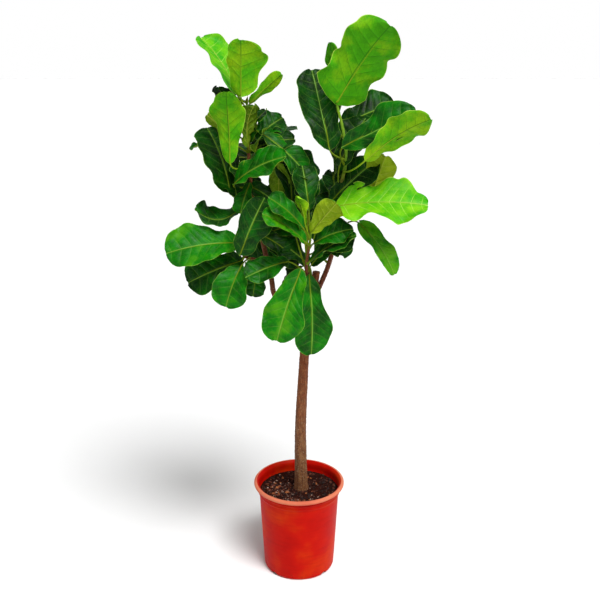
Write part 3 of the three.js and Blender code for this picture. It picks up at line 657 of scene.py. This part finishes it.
shoot_bark = shoot_finish()
grown = {"trunk": trunk_at}
shoot_tips = []
for name, shoot in SHOOTS.items():
    whole = TRUNK_DEPTH + TRUNK_HEIGHT
    root = grown[shoot["parent"]](shoot["along"] if "along" in shoot else 1 - shoot["below"] / whole)
    at, length = grown_curve([root + step for step in shoot["path"]])
    grown[name] = at
    rows = int(length / 2.2)
    thick, thin = shoot["radii"]
    scars = np.cumsum(9 + 9 * chance.random(80))
    scars = scars[scars < length - 6]
    facing = chance.random(len(scars)) * 2 * math.pi

    def shoot_swell(place, turn, row):
        """A collar at the root, a ring and a crescent at each leaf scar, and the grain."""
        run = length * row / rows
        collar = 4.5 * math.exp(-((run / 17) ** 2))
        grain = 0.3 * noise.noise(Vector((place[0] / 2.4, place[1] / 2.4, place[2] / 7)))
        near = np.exp(-(((run - scars) / 1.4) ** 2)) * (0.3 + 0.7 * np.maximum(0, np.cos(turn - facing)) ** 2)
        return collar + grain + 0.75 * float(near.sum())

    places = [at(row / rows) for row in range(rows + 1)]
    radii = [thick + (thin - thick) * row / rows for row in range(rows + 1)]
    points, faces = tube(places, radii, SHOOT_SIDES, shoot_swell)
    run = np.append(np.repeat(np.arange(rows + 1) / rows, SHOOT_SIDES), [0, 1])
    marks = {"age": run, "cut": np.zeros(len(points)),
             "green": np.clip((run - shoot["green"] + 0.07) / 0.14, 0, 1)}
    make_piece("grown_" + name, np.array(points) * MM, faces, shoot_bark, [name], marks, 60)
    shoot_tips.append((at(1), at(1) - at(0.985), thin))

# ------------------------------------------------------------------ leaf blades and stalks
# Leathery fiddle-shaped leaves, each one blade on one stalk that runs on as its midrib. Side veins
# sink into the glossy upper side and stand out below, and the skin between them is puckered.
BLADE_THICKNESS = 0.7
STALK_RADIUS = 2.3
ROWS_IN_VEIN_GAP = (0.0, 0.07, 0.18, 0.32, 0.46, 0.6, 0.74, 0.86, 0.94)
HALF_COLUMNS = (0.018, 0.05, 0.1, 0.17, 0.25, 0.34, 0.43, 0.52, 0.61, 0.7, 0.78, 0.85, 0.91, 0.955,
                0.985, 1.0)
VEIN_SWEEP = 0.34


def smooth(x, low, high):
    x = np.clip((x - low) / (high - low), 0, 1)
    return x * x * (3 - 2 * x)


def half_outline(t, lobe, neck):
    """Half width of the blade as a share of its widest, from its foot (0) to its tip (1)."""
    body = neck + (1 - neck) * smooth(t, 0.15, 0.68)
    lobes = lobe * np.exp(-(((t - 0.17) / 0.12) ** 2))
    foot = np.sqrt(np.clip(t / 0.12, 0, 1))
    tip = np.where(t < 0.66, 1, np.sqrt(np.clip(1 - ((t - 0.66) / 0.345) ** 2, 0, 1)))
    return (body + lobes) * foot * tip


def blade_axes(leaf):
    """The blade's own directions: along its chord, out of its upper side, and across."""
    turn, rise, roll = (math.radians(leaf[k]) for k in ("turn", "rise", "roll"))
    heading = np.array([math.cos(turn), math.sin(turn), 0])
    level_up = np.array([0, 0, 1.0])
    along = heading * math.cos(rise) + level_up * math.sin(rise)
    up = level_up * math.cos(rise) - heading * math.sin(rise)
    up = up * math.cos(roll) + np.cross(along, up) * math.sin(roll)
    return along, up, np.cross(along, up)


def vein_rows(count):
    """Where the rows of the blade's mesh run, and how far each is past the last side vein (0 to 1),
    with the vein's number. Rows follow the side veins, so each vein is a row of real edges."""
    first, last = 0.055, 0.93
    rows = [(r, 0.35 + 0.65 * r / first) for r in (0.0, 0.006, 0.02, 0.038)]
    for k in range(count):
        start = first + (last - first) * (k / count) ** 0.94
        end = first + (last - first) * ((k + 1) / count) ** 0.94
        rows += [(start + (end - start) * f, k + 1 + f) for f in ROWS_IN_VEIN_GAP]
    for r in (last, 0.95, 0.967, 0.98, 0.99, 0.996, 1.0):
        rows.append((r, count + 1 + (r - last) / (1 - last) * 0.9))
    return np.array(rows)


def blade(leaf, foot, seed):
    """Points, faces and marks of one blade: an upper and a lower skin joined round the margin."""
    pick = np.random.default_rng(seed)
    along, up, across = blade_axes(leaf)
    count = int(np.clip(round(leaf["length"] / 32), 4, 7))
    rows = vein_rows(count)
    sides = np.array([-s for s in reversed(HALF_COLUMNS)] + [0.0] + list(HALF_COLUMNS))
    r, side = np.meshgrid(rows[:, 0], sides, indexing="ij")
    q = np.repeat(rows[:, 1][:, None], len(sides), axis=1)
    edge = np.abs(side)
    t = r + VEIN_SWEEP * edge ** 1.1 * 1.25 * (1 - r) * (1 - np.exp(-r / 0.12))
    length, bow, fold, wave = leaf["length"], leaf["bow"], leaf["fold"], leaf["wave"]
    hand = np.sign(side)
    uneven = 1 + 0.05 * np.sin(9 * t + 2 * hand + seed) + 0.035 * np.sin(17 * t - 3 * hand + 2 * seed)
    half = leaf["width"] / 2 * half_outline(t, leaf.get("lobe", 0.05), leaf.get("neck", 0.46)) * uneven
    half = half * (1 + leaf.get("lean", 0) * hand)
    for which, place, depth, reach in leaf.get("notches", ()):
        half = half * (1 - depth * (hand == which) * edge ** 2 * np.exp(-(((t - place) / reach) ** 2)))
    set_back = 0.05 * length * edge ** 2 * np.exp(-t / 0.09)
    slope = bow * 4 * (1 - 2 * t) / length
    normal = up - along * slope[..., None]
    normal /= np.linalg.norm(normal, axis=2)[..., None]
    phase = pick.random(6) * 2 * math.pi
    ripple = wave * np.minimum(1, 4 * t) * edge ** 3 * np.sin(14 * t + 1.3 * side)
    frill = 0.5 * wave * edge ** 4 * np.sin(25 * t + phase[0] + 2.1 * hand) * smooth(t, 0.03, 0.2)
    gap = q - np.floor(q)
    young = 0.55 if leaf.get("young") else 1.0
    pucker = (2.0 * young * np.sin(math.pi * gap) ** 0.7 * smooth(edge, 0.0, 0.22) * (1 - 0.55 * edge ** 3)
              * np.minimum(1, half / 22) * smooth(t, 0.01, 0.08))
    trough = -0.9 * young * np.exp(-((edge * half / 3.2) ** 2))
    cupped = 4.0 * edge ** 2 * np.sin(6.5 * t + phase[1] + 0.9 * side)
    cupped += 2.0 * edge * np.sin(9 * t * side + phase[2])
    sway = 0.02 * length * math.sin(phase[3]) * np.sin(math.pi * np.clip(t, 0, 1)) * smooth(t, 0, 0.3)
    lift = fold * half * edge ** 1.6 * 0.6 + ripple + frill + pucker + trough + cupped
    centre = foot + along * (length * t - set_back)[..., None] + up * (bow * 4 * t * (1 - t))[..., None]
    middle = centre + across * (half * side * (1 - 0.12 * fold) + sway)[..., None] + normal * lift[..., None]
    thick = BLADE_THICKNESS / 2 * (1 - 0.45 * edge ** 6)
    rib = 0.55 * np.exp(-(np.minimum(gap, 1 - gap) / 0.07) ** 2) * (1 - edge) ** 0.7 * smooth(q, 0.5, 1)
    upper = middle + normal * thick[..., None]
    lower = middle - normal * (thick + rib * np.minimum(1, half / 25))[..., None]
    height, width = r.shape
    skin = np.arange(height * width).reshape(height, width)
    faces = []
    under = height * width
    corners = skin[:-1, :-1], skin[:-1, 1:], skin[1:, 1:], skin[1:, :-1]
    for a, b, c, d in zip(*(corner.ravel() for corner in corners)):
        faces.append((d, c, b, a))
        faces.append((a + under, b + under, c + under, d + under))
    border = np.concatenate([skin[0, :-1], skin[:-1, -1], skin[-1, :0:-1], skin[:0:-1, 0]])
    for a, b in zip(border, np.roll(border, -1)):
        faces.append((a, b, b + under, a + under))
    spot = np.stack([side * half, q, t * length], axis=2).reshape(-1, 3)
    marks = {"spot": np.concatenate([spot, spot]), "edge": np.tile(edge.ravel(), 2),
             "under": np.repeat([0.0, 1.0], height * width)}
    return np.concatenate([upper.reshape(-1, 3), lower.reshape(-1, 3)]), faces, marks


def stalk(leaf, start, foot):
    """The leaf's stalk, from inside its shoot to the blade, and on under the blade as its midrib."""
    along, up, _ = blade_axes(leaf)
    length, bow = leaf["length"], leaf["bow"]
    reach = np.linalg.norm(foot - start)
    tangent = along + up * bow * 4 / length
    tangent /= np.linalg.norm(tangent)
    bend = foot - tangent * reach * 0.4
    steps = np.linspace(0, 1, max(8, int(reach / 4)))[:-1]
    places = [start * (1 - s) ** 2 + 2 * bend * s * (1 - s) + foot * s * s for s in steps]
    base = 1 + 0.75 * np.exp(-((steps * reach - 3) / 7) ** 2)
    radii = list(STALK_RADIUS * (1 - 0.12 * steps) * base)
    for t in np.linspace(0, 0.97, 26):
        under = up * (bow * 4 * t * (1 - t) - 0.9 * (1 - t))
        places.append(foot + along * length * t + under)
        radii.append(0.35 + 1.65 * (1 - t) ** 1.3)
    points, faces = tube(places, radii, 12)
    share = np.append(np.repeat(np.arange(len(places)) / (len(places) - 1), 12), [0, 1])
    zero = np.zeros(len(points))
    marks = {"spot": np.stack([zero, zero + 1, share * length], axis=1), "edge": zero, "under": zero + 2}
    return np.array(points), faces, marks


def leaf_finish(name, upper, veins, vein_strength, below, below_veins, stalk_colour, polish, painted_margin_light):
    """A leaf's skins. The mark called spot is the place on the blade: across it and along it in
    millimetres, and between them the count of side veins passed. Under is 0 on the upper side, 1 on
    the lower side and 2 on the stalk, and tone is the leaf's own shade."""
    finish, tree, shader = new_finish(name)
    spot = shade(tree, "Attribute", attribute_name="spot").outputs["Vector"]
    edge = shade(tree, "Attribute", attribute_name="edge").outputs["Fac"]
    under = shade(tree, "Attribute", attribute_name="under").outputs["Fac"]
    tone = shade(tree, "Attribute", attribute_name="tone").outputs["Fac"]
    parts = shade(tree, "SeparateXYZ", {"Vector": spot})
    away = reckon(tree, parts.outputs["X"], 0.0, "ABSOLUTE")
    midrib = value_band(tree, away, 0.5, 1.7, 1, 0)
    near_vein = shade(tree, "Math", {0: parts.outputs["Y"], 1: 0.5}, operation="PINGPONG").outputs[0]
    # veins thin out towards the margin
    spread = value_band(tree, edge, 0.0, 1.0, 0.042, 0.012)
    side_vein = reckon(tree, 1.0, reckon(tree, near_vein, spread, "DIVIDE"), "SUBTRACT")
    side_vein = value_band(tree, side_vein, 0.0, 0.8)
    side_vein = reckon(tree, side_vein, value_band(tree, edge, 0.35, 0.95, 0.8, 0.1), "MULTIPLY")
    halo = value_band(tree, near_vein, 0.0, 0.16, 0.3, 0)
    halo = reckon(tree, halo, value_band(tree, away, 1.0, 9.0, 0.6, 0), "MAXIMUM")
    mesh_of_veins = shade(tree, "TexVoronoi", {"Vector": shade(tree, "Mapping", {"Vector": spot,
                          "Scale": (0.16, 2.3, 0.0)}).outputs["Vector"], "Scale": 1.0},
                          feature="DISTANCE_TO_EDGE").outputs["Distance"]
    fine = value_band(tree, mesh_of_veins, 0.0, 0.09, 1, 0)
    vein = reckon(tree, midrib, side_vein, "MAXIMUM")
    flat = place_on_object(tree)
    cloud = speckle(tree, flat, 22, 3)
    patch = reckon(tree, value_band(tree, cloud, 0.3, 0.7, -0.16, 0.16), tone)
    top = colour_band(tree, patch, upper)
    top = blend_colours(tree, reckon(tree, fine, 0.07, "MULTIPLY"), top, veins)
    top = blend_colours(tree, reckon(tree, halo, 0.12, "MULTIPLY"), top, veins)
    top = blend_colours(tree, reckon(tree, side_vein, vein_strength, "MULTIPLY"), top, veins)
    top = blend_colours(tree, reckon(tree, midrib, 0.75, "MULTIPLY"), top, veins)
    back = colour_band(tree, patch, below)
    back = blend_colours(tree, reckon(tree, fine, 0.3, "MULTIPLY"), back, below_veins)
    back = blend_colours(tree, reckon(tree, vein, 0.75, "MULTIPLY"), back, below_veins)
    skin = blend_colours(tree, value_band(tree, under, 0.4, 0.6), top, back)
    # painted light along the margin: the blade's outermost edge is painted paler, as if lit
    rim = reckon(tree, value_band(tree, edge, 0.972, 0.995), 0.8, "MULTIPLY")
    skin = blend_colours(tree, rim, skin, painted_margin_light)
    skin = blend_colours(tree, value_band(tree, under, 1.4, 1.6), skin, stalk_colour)
    film = value_band(tree, speckle(tree, flat, 60, 4), 0.35, 0.7, polish, polish + 0.14)
    rough = reckon(tree, film, value_band(tree, under, 0.4, 0.6, 0, 0.22))
    pucker = relief(tree, fine, -0.0004, 0.45)
    lay_on(tree, shader, skin, rough, 0.11, relief(tree, vein, -0.0005, 0.5, pucker))
    return finish


mature_leaf = leaf_finish(
    "mature_leaf",
    upper=[(0.0, 0, 26, 0), (0.3, 1, 60, 0), (0.6, 12, 112, 2), (1.0, 96, 164, 8)],
    veins=swatch(120, 172, 60), vein_strength=0.3,
    below=[(0.0, 54, 92, 4), (0.5, 100, 136, 4), (1.0, 142, 164, 12)],
    below_veins=swatch(160, 172, 60), stalk_colour=swatch(104, 126, 18), polish=0.34,
    painted_margin_light=swatch(132, 176, 60))
young_leaf = leaf_finish(
    "young_leaf",
    upper=[(0.0, 8, 112, 0), (0.4, 46, 156, 0), (0.7, 112, 186, 8),
           (1.0, 170, 212, 44)],
    veins=swatch(196, 226, 104), vein_strength=0.6,
    below=[(0.0, 28, 112, 0), (0.5, 66, 150, 0), (1.0, 150, 184, 8)],
    below_veins=swatch(30, 88, 2), stalk_colour=swatch(120, 150, 22), polish=0.38,
    painted_margin_light=swatch(180, 212, 80))

# Leaves by group and shoot. Each: the share of the shoot's length where its stalk leaves it (0 root, 1 tip),
# the way from there to the foot of the blade, the blade's heading (turn from +X, rise above level) and roll
# about its chord, its length and width, the bow of its midrib, the fold of its halves and the waves of its
# margin, in millimetres and degrees, and its tone from dark to bright. Some have values of their own: lobe,
# neck and lean shape the outline, and a notch is a side, a share of the length, a depth and a reach.
LEAVES = [
    # from the tip of the left leader downwards
    ("left_leaf", "left_leader", [
        (1.0, (-27, 16, 21), 145, 50, 0, 185, 130, 12, 0.45, 5, 0.5, dict(lobe=0.1, neck=0.85, young=True,
              notches=((1, 0.55, 0.12, 0.05), (-1, 0.7, 0.12, 0.05)))),
        (0.975, (-14, -27, 38), 281, 80, -10, 138, 108, 8, 0.25, 4, 0.66,
         dict(neck=0.6, lean=-0.25, young=True,
              notches=((1, 0.75, 0.1, 0.06), (-1, 0.8, 0.1, 0.05)))),
        (0.95, (10, 2, 32), 349, 41, -60, 111, 42, 6, 0.7, 2, 0.7, dict(neck=0.6, young=True)),
        (0.74, (-48, -60, 25), 264, 80, 0, 181, 95, 14, 0.35, 5, 0.55, dict(young=True,
              notches=((1, 0.5, 0.14, 0.05), (-1, 0.78, 0.14, 0.06), (1, 0.84, 0.1, 0.04)))),
        (0.6, (-62, -30, 35), 141, 64, 0, 178, 146, 14, 0.2, 6, 0.16, dict(neck=0.7, lean=-0.15)),
        (0.66, (-40, -62, 20), 345, 28, 35, 160, 120, 14, 0.3, 6, 0.45),
        (0.8, (-47, -30, 42), 190, 46, 50, 84, 60, 6, 0.3, 3, 0.55),
        (0.84, (-32, 10, 32), 135, 57, 0, 130, 90, 10, 0.3, 5, 0.15),
        (0.87, (26, -6, 12), 353, -42, 30, 200, 85, 16, 0.25, 8, 0.35),
        (0.83, (8, 26, 8), 26, 32, 45, 110, 80, 8, 0.3, 5, 0.35),
        (0.75, (74, -38, 30), 80, -78, 0, 110, 60, 8, 0.2, 4, 0.35),
        (0.63, (-6, -26, 30), 235, -60, -20, 85, 54, 10, 0.3, 4, 0.5),
        (0.78, (-73, 71, 8), 173, 2, 0, 96, 50, 12, 0.3, 5, 0.35),
        (0.77, (42, 36, 4), 350, -25, 30, 120, 85, 12, 0.3, 5, 0.35),
        (0.5, (-35, -26, 62), 194, -4, -25, 136, 108, -42, 0.4, 5, 0.35),
    ]),
    # from the tip of the right leader downwards
    ("right_leaf", "right_leader", [
        (1.0, (5, -10, -1), 332, 53, -50, 233, 162, 14, 0.3, 9, 0.5, dict(lobe=0.2, neck=0.8, young=True,
              notches=((1, 0.5, 0.12, 0.05), (-1, 0.62, 0.12, 0.05), (1, 0.82, 0.07, 0.05)))),
        (0.94, (-9, 8, 38), 180, 83, 60, 141, 52, 8, 0.6, 3, 0.5, dict(young=True)),
        (0.72, (-46, 0, 34), 123, 67, -15, 212, 128, 14, 0.25, 6, 0.2, dict(neck=0.6)),
        (0.82, (-2, 53, 28), 10, 21, 45, 150, 120, 10, 0.3, 6, 0.18),
        (0.66, (52, -114, 50), 353, 33, -55, 186, 106, 14, 0.3, 7, 0.66, dict(neck=0.6, young=True,
              notches=((1, 0.45, 0.14, 0.06), (-1, 0.7, 0.1, 0.05), (1, 0.85, 0.1, 0.05)))),
        (0.69, (-4, -52, 60), 354, 27, 70, 201, 108, 12, 0.3, 7, 0.45),
        (0.52, (87, -8, 10), 316, 67, -50, 122, 88, 10, 0.3, 4, 0.85, dict(lobe=0.25)),
        (0.47, (-1, -62, 21), 352, 2, 35, 237, 160, 14, 0.25, 9, 0.58, dict(lobe=0.45, young=True,
              notches=((1, 0.74, 0.14, 0.05), (-1, 0.66, 0.12, 0.05), (-1, 0.88, 0.08, 0.04)))),
        (0.35, (67, -45, 37), 335, -52, 30, 165, 66, 14, 0.35, 2, 0.72, dict(neck=0.85)),
        (0.6, (30, 14, -34), 40, 29, 40, 80, 60, 8, 0.3, 4, 0.35),
    ]),
    ("centre_leaf", "centre_shoot", [
        (1.0, (2, -12, 2), 331, 49, -60, 108, 78, 8, 0.25, 4, 0.75),
        (0.965, (-6, 16, 66), 114, 69, 0, 115, 80, 8, 0.3, 4, 0.25),
        (0.93, (-14, -10, 40), 216, 71, 20, 80, 34, 5, 0.5, 2, 0.7, dict(young=True)),
        (0.895, (-20, -18, 40), 205, 42, -55, 130, 75, 10, 0.3, 4, 0.5),
        (0.85, (-14, -22, 14), 209, 35, -45, 150, 75, 10, 0.35, 4, 0.66),
        (0.62, (12, -16, 14), 345, 32, 30, 145, 85, 12, 0.3, 6, 0.35),
        (0.8, (14, -8, 18), 350, 22, 45, 112, 80, 10, 0.3, 5, 0.35),
    ]),
    # down in front of the trunk
    ("hanging_leaf", "centre_shoot", [
        (0.38, (-20, -46, 49), 216, -67, -45, 197, 120, 14, 0.2, 6, 0.6),
        (0.22, (4, -34, 70), 281, -82, 0, 215, 105, 14, 0.2, 6, 0.45),
    ]),
    ("centre_leaf", "centre_shoot", [
        (0.5, (-53, -8, 37), 219, -8, -40, 141, 80, 12, 0.3, 5, 0.35),
    ]),
    # out to the far left
    ("low_leaf", "lower_left_shoot", [
        (1.0, (-7, 6, 19), 199, -4, -45, 197, 138, 16, 0.25, 6, 0.6),
        (0.95, (2, -48, 9), 350, 66, 90, 164, 95, 10, 0.3, 5, 0.3, dict(neck=0.6, lean=0.15)),
        (0.8, (-9, 3, -15), 185, -22, -55, 157, 118, 14, 0.3, 5, 0.3, dict(neck=0.6)),
        (0.62, (-20, -57, -9), 227, -60, -25, 115, 110, 12, 0.3, 5, 0.5, dict(neck=0.6)),
        (0.35, (2, -24, -14), 232, -71, -20, 81, 75, 8, 0.3, 4, 0.35),
    ]),
    # hidden side of the crown
    ("rear_leaf", "left_leader", [
        (0.93, (4, 28, -6), 94, 0, 0, 160, 105, 14, 0.25, 5, 0.35),
        (0.81, (28, 26, 4), 60, 15, 10, 160, 100, 14, 0.25, 5, 0.35),
        (0.71, (2, 34, 8), 95, 15, 0, 180, 130, 16, 0.25, 6, 0.35),
        (0.6, (32, 18, 6), 30, 5, 50, 165, 120, 14, 0.25, 5, 0.35),
        (0.46, (22, 8, 0), 20, 10, 45, 150, 110, 14, 0.25, 5, 0.35),
        (0.36, (-4, 32, 4), 80, 20, 0, 180, 120, 16, 0.25, 6, 0.35),
    ]),
    ("rear_leaf", "rear_shoot", [
        (1.0, (0, 8, 24), 102, 38, 0, 175, 115, 14, 0.25, 6, 0.35),
        (0.88, (26, 4, 16), 30, 48, 20, 170, 120, 14, 0.25, 5, 0.35),
        (0.9, (-26, 2, 14), 172, 12, -45, 160, 110, 14, 0.25, 5, 0.35),
        (0.6, (26, 10, 10), 30, 5, 40, 105, 110, 14, 0.25, 6, 0.35),
        (0.5, (-24, 12, 8), 160, -5, -45, 165, 110, 14, 0.25, 6, 0.35),
    ]),
    ("rear_leaf", "right_leader", [
        (0.6, (4, 26, 6), 75, 40, 0, 150, 100, 16, 0.25, 6, 0.35),
    ]),
]
LEAF_COLUMNS = ("at", "foot", "turn", "rise", "roll", "length", "width", "bow", "fold", "wave", "tone", "own")

# Small leaves deep in the crown, in the shade of the outer ones, all bent alike: shoot, at, foot, turn,
# rise, roll, length, width and tone.
INNER_BEND = dict(bow=14, fold=0.25, wave=6)
INNER_LEAVES = [
    ("right_leader", 0.56, (-1, -14, 73), 20, 59, 40, 140, 100, 0.16),
    ("right_leader", 0.44, (-11, -12, 45), 5, 42, 50, 160, 100, 0.2),
    ("right_leader", 0.5, (-11, -1, 15), 98, 62, 0, 75, 70, 0.12),
    ("right_leader", 0.4, (25, -2, 49), 14, 32, 40, 95, 80, 0.25),
    ("centre_shoot", 0.7, (1, 19, 120), 103, 64, 0, 105, 80, 0.14),
    ("left_leader", 0.7, (32, 0, 72), 357, -25, 40, 165, 90, 0.2),
    ("centre_shoot", 0.55, (-39, 34, 170), 111, 71, 0, 165, 85, 0.15),
    ("left_leader", 0.79, (4, 2, 34), 29, 58, 0, 95, 90, 0.2),
    ("left_leader", 0.73, (1, 6, 47), 5, 15, 40, 125, 80, 0.14),
    ("left_leader", 0.48, (-26, -9, 38), 146, 72, 0, 150, 110, 0.2),
    ("left_leader", 0.57, (-12, -5, 61), 349, -38, 40, 130, 90, 0.22),
    ("left_leader", 0.53, (-29, -10, 44), 176, 45, -40, 90, 70, 0.2),
    ("left_leader", 0.4, (-5, -6, 36), 355, -37, 45, 130, 95, 0.2),
    ("centre_shoot", 0.3, (1, 14, 75), 164, 32, -40, 125, 90, 0.2),
    ("centre_shoot", 0.26, (12, 1, 89), 10, 37, 40, 145, 95, 0.22),
    ("right_leader", 0.2, (-20, -4, 28), 343, 22, 45, 75, 70, 0.14),
    ("centre_shoot", 0.45, (-5, 16, 99), 145, 60, 0, 140, 100, 0.2),
    ("right_leader", 0.3, (-54, -18, 21), 27, 60, 20, 135, 100, 0.16),
    ("centre_shoot", 0.24, (-13, 10, 86), 174, -51, -20, 80, 46, 0.12),
    ("left_leader", 0.8, (0, -18, 20), 319, 77, -10, 110, 72, 0.16),
    ("left_leader", 0.72, (18, -30, 26), 337, 69, 20, 105, 66, 0.14),
    ("right_leader", 0.52, (-13, 9, 62), 157, 81, 0, 80, 60, 0.1),
]
INNER_COLUMNS = ("on", "at", "foot", "turn", "rise", "roll", "length", "width", "tone")

leaves = []
for group, shoot, rows in LEAVES:
    leaves += [dict(zip(LEAF_COLUMNS, row), group=group, on=shoot) for row in rows]
leaves += [dict(zip(INNER_COLUMNS, row), group="inner_leaf", **INNER_BEND) for row in INNER_LEAVES]
made = {}
for number, leaf in enumerate(leaves):
    leaf.update(leaf.pop("own", {}))
    group = leaf["group"]
    made[group] = made.get(group, 0) + 1
    name = "%s_%02d" % (group, made[group])
    start = grown[leaf["on"]](leaf["at"])
    foot = start + leaf["foot"]
    blade_points, blade_faces, marks = blade(leaf, foot, 700 + number)
    stalk_points, stalk_faces, stalk_marks = stalk(leaf, start, foot)
    faces = blade_faces + [tuple(i + len(blade_points) for i in face) for face in stalk_faces]
    marks = {key: np.concatenate([marks[key], stalk_marks[key]]) for key in marks}
    young = leaf.get("young", False)
    marks["tone"] = np.full(len(marks["edge"]), leaf["tone"])
    points = np.concatenate([blade_points, stalk_points]) * MM
    make_piece(name + "_blade", points, faces, young_leaf if young else mature_leaf,
               [] if group == "inner_leaf" else [name], marks, 50)

# ------------------------------------------------------------------ tip buds
# Each shoot ends in a bud wrapped in a pointed papery sheath, green below and brown at its tip. The sheath
# is a short tapering tube that leans a little, its foot sunk in the end of the shoot.
BUD_LENGTH = 20
BUD_SIDES = 14
for number, (tip, way, thin) in enumerate(shoot_tips):
    way = way / np.linalg.norm(way)
    steps = np.linspace(0, 1, BUD_SIDES)
    lean = np.array([math.cos(number * 2.4), math.sin(number * 2.4), 0]) * 3
    places = [tip + way * (BUD_LENGTH * s - 3) + lean * s * s for s in steps]
    swollen = [0.9 + 0.5 * math.sin(math.pi * min(1, s * 1.3)) ** 2 for s in steps]
    radii = [thin * out * (1 - s ** 2.4) + 0.25 for out, s in zip(swollen, steps)]
    points, faces = tube(places, radii, BUD_SIDES)
    share = np.append(np.repeat(steps, BUD_SIDES), [0, 1])
    marks = {"age": share, "cut": np.zeros(len(points)), "green": np.clip(1.1 - share, 0, 1)}
    name = "tip_bud_%d" % (number + 1)
    make_piece(name, np.array(points) * MM, faces, shoot_bark, [], marks, 60)

# ------------------------------------------------------------------ studio
# A plain pale floor under soft light: a broad light from overhead and one soft lamp, both from the right
# in front, and a white surrounding that dims upwards. The camera stands in front and looks down a little.
FLOOR_SIDE = 60
FLOOR_WHITE = 0.93
SKY_GREYS = [(0.0, 255), (0.05, 255), (0.15, 203.4), (0.4, 161.7), (1.0, 148.9)]
LAMP_PLACE = Vector((1.3, -1.6, 3.2))
LAMP_TARGET = Vector((0, 0, 1.1))
CAMERA_PLACE = (0.003, -2.3, 1.56)
CAMERA_PITCH = 17.26
CAMERA_LENS = 51.35
floor_mesh = bpy.data.meshes.new("floor")
far = FLOOR_SIDE / 2
floor_mesh.from_pydata([(-far, -far, 0), (far, -far, 0), (far, far, 0), (-far, far, 0)], [], [(0, 1, 2, 3)])
floor = bpy.data.objects.new("floor", floor_mesh)
bpy.context.scene.collection.objects.link(floor)
floor_paint, tree, shader = new_finish("floor_paint")
shader.inputs["Base Color"].default_value = (FLOOR_WHITE, FLOOR_WHITE, FLOOR_WHITE, 1)
shader.inputs["Roughness"].default_value = 0.9
shader.inputs["Specular IOR Level"].default_value = 0.1
floor_mesh.materials.append(floor_paint)

world = bpy.data.worlds.new("studio")
world.use_nodes = True
sky = world.node_tree
upward = shade(sky, "SeparateXYZ", {"Vector": shade(sky, "TexCoord").outputs["Generated"]}).outputs["Z"]
glow = colour_band(sky, upward, [(place, grey, grey, grey) for place, grey in SKY_GREYS])
sky.links.new(glow, sky.nodes["Background"].inputs["Color"])
sky.nodes["Background"].inputs["Strength"].default_value = 1.0
bpy.context.scene.world = world

sun = bpy.data.objects.new("overhead_light", bpy.data.lights.new("overhead_light", "SUN"))
sun.data.energy, sun.data.angle = 2.8, math.radians(28)
sun.rotation_euler = Vector((-0.35, 0.55, -1.15)).to_track_quat("-Z", "Y").to_euler()
bpy.context.scene.collection.objects.link(sun)
lamp = bpy.data.objects.new("main_lamp", bpy.data.lights.new("main_lamp", "AREA"))
lamp.data.shape, lamp.data.size, lamp.data.energy = "SQUARE", 1.2, 26
lamp.location = LAMP_PLACE
lamp.rotation_euler = (LAMP_TARGET - LAMP_PLACE).to_track_quat("-Z", "Y").to_euler()
bpy.context.scene.collection.objects.link(lamp)

bpy.context.scene.view_settings.view_transform = "Standard"

camera = bpy.data.objects.new("camera", bpy.data.cameras.new("camera"))
camera.location = CAMERA_PLACE
camera.rotation_euler = (math.radians(90 - CAMERA_PITCH), 0, 0)
camera.data.sensor_width = 36
camera.data.lens = CAMERA_LENS
camera.data.clip_end = 200
bpy.context.scene.collection.objects.link(camera)
bpy.context.scene.camera = camera
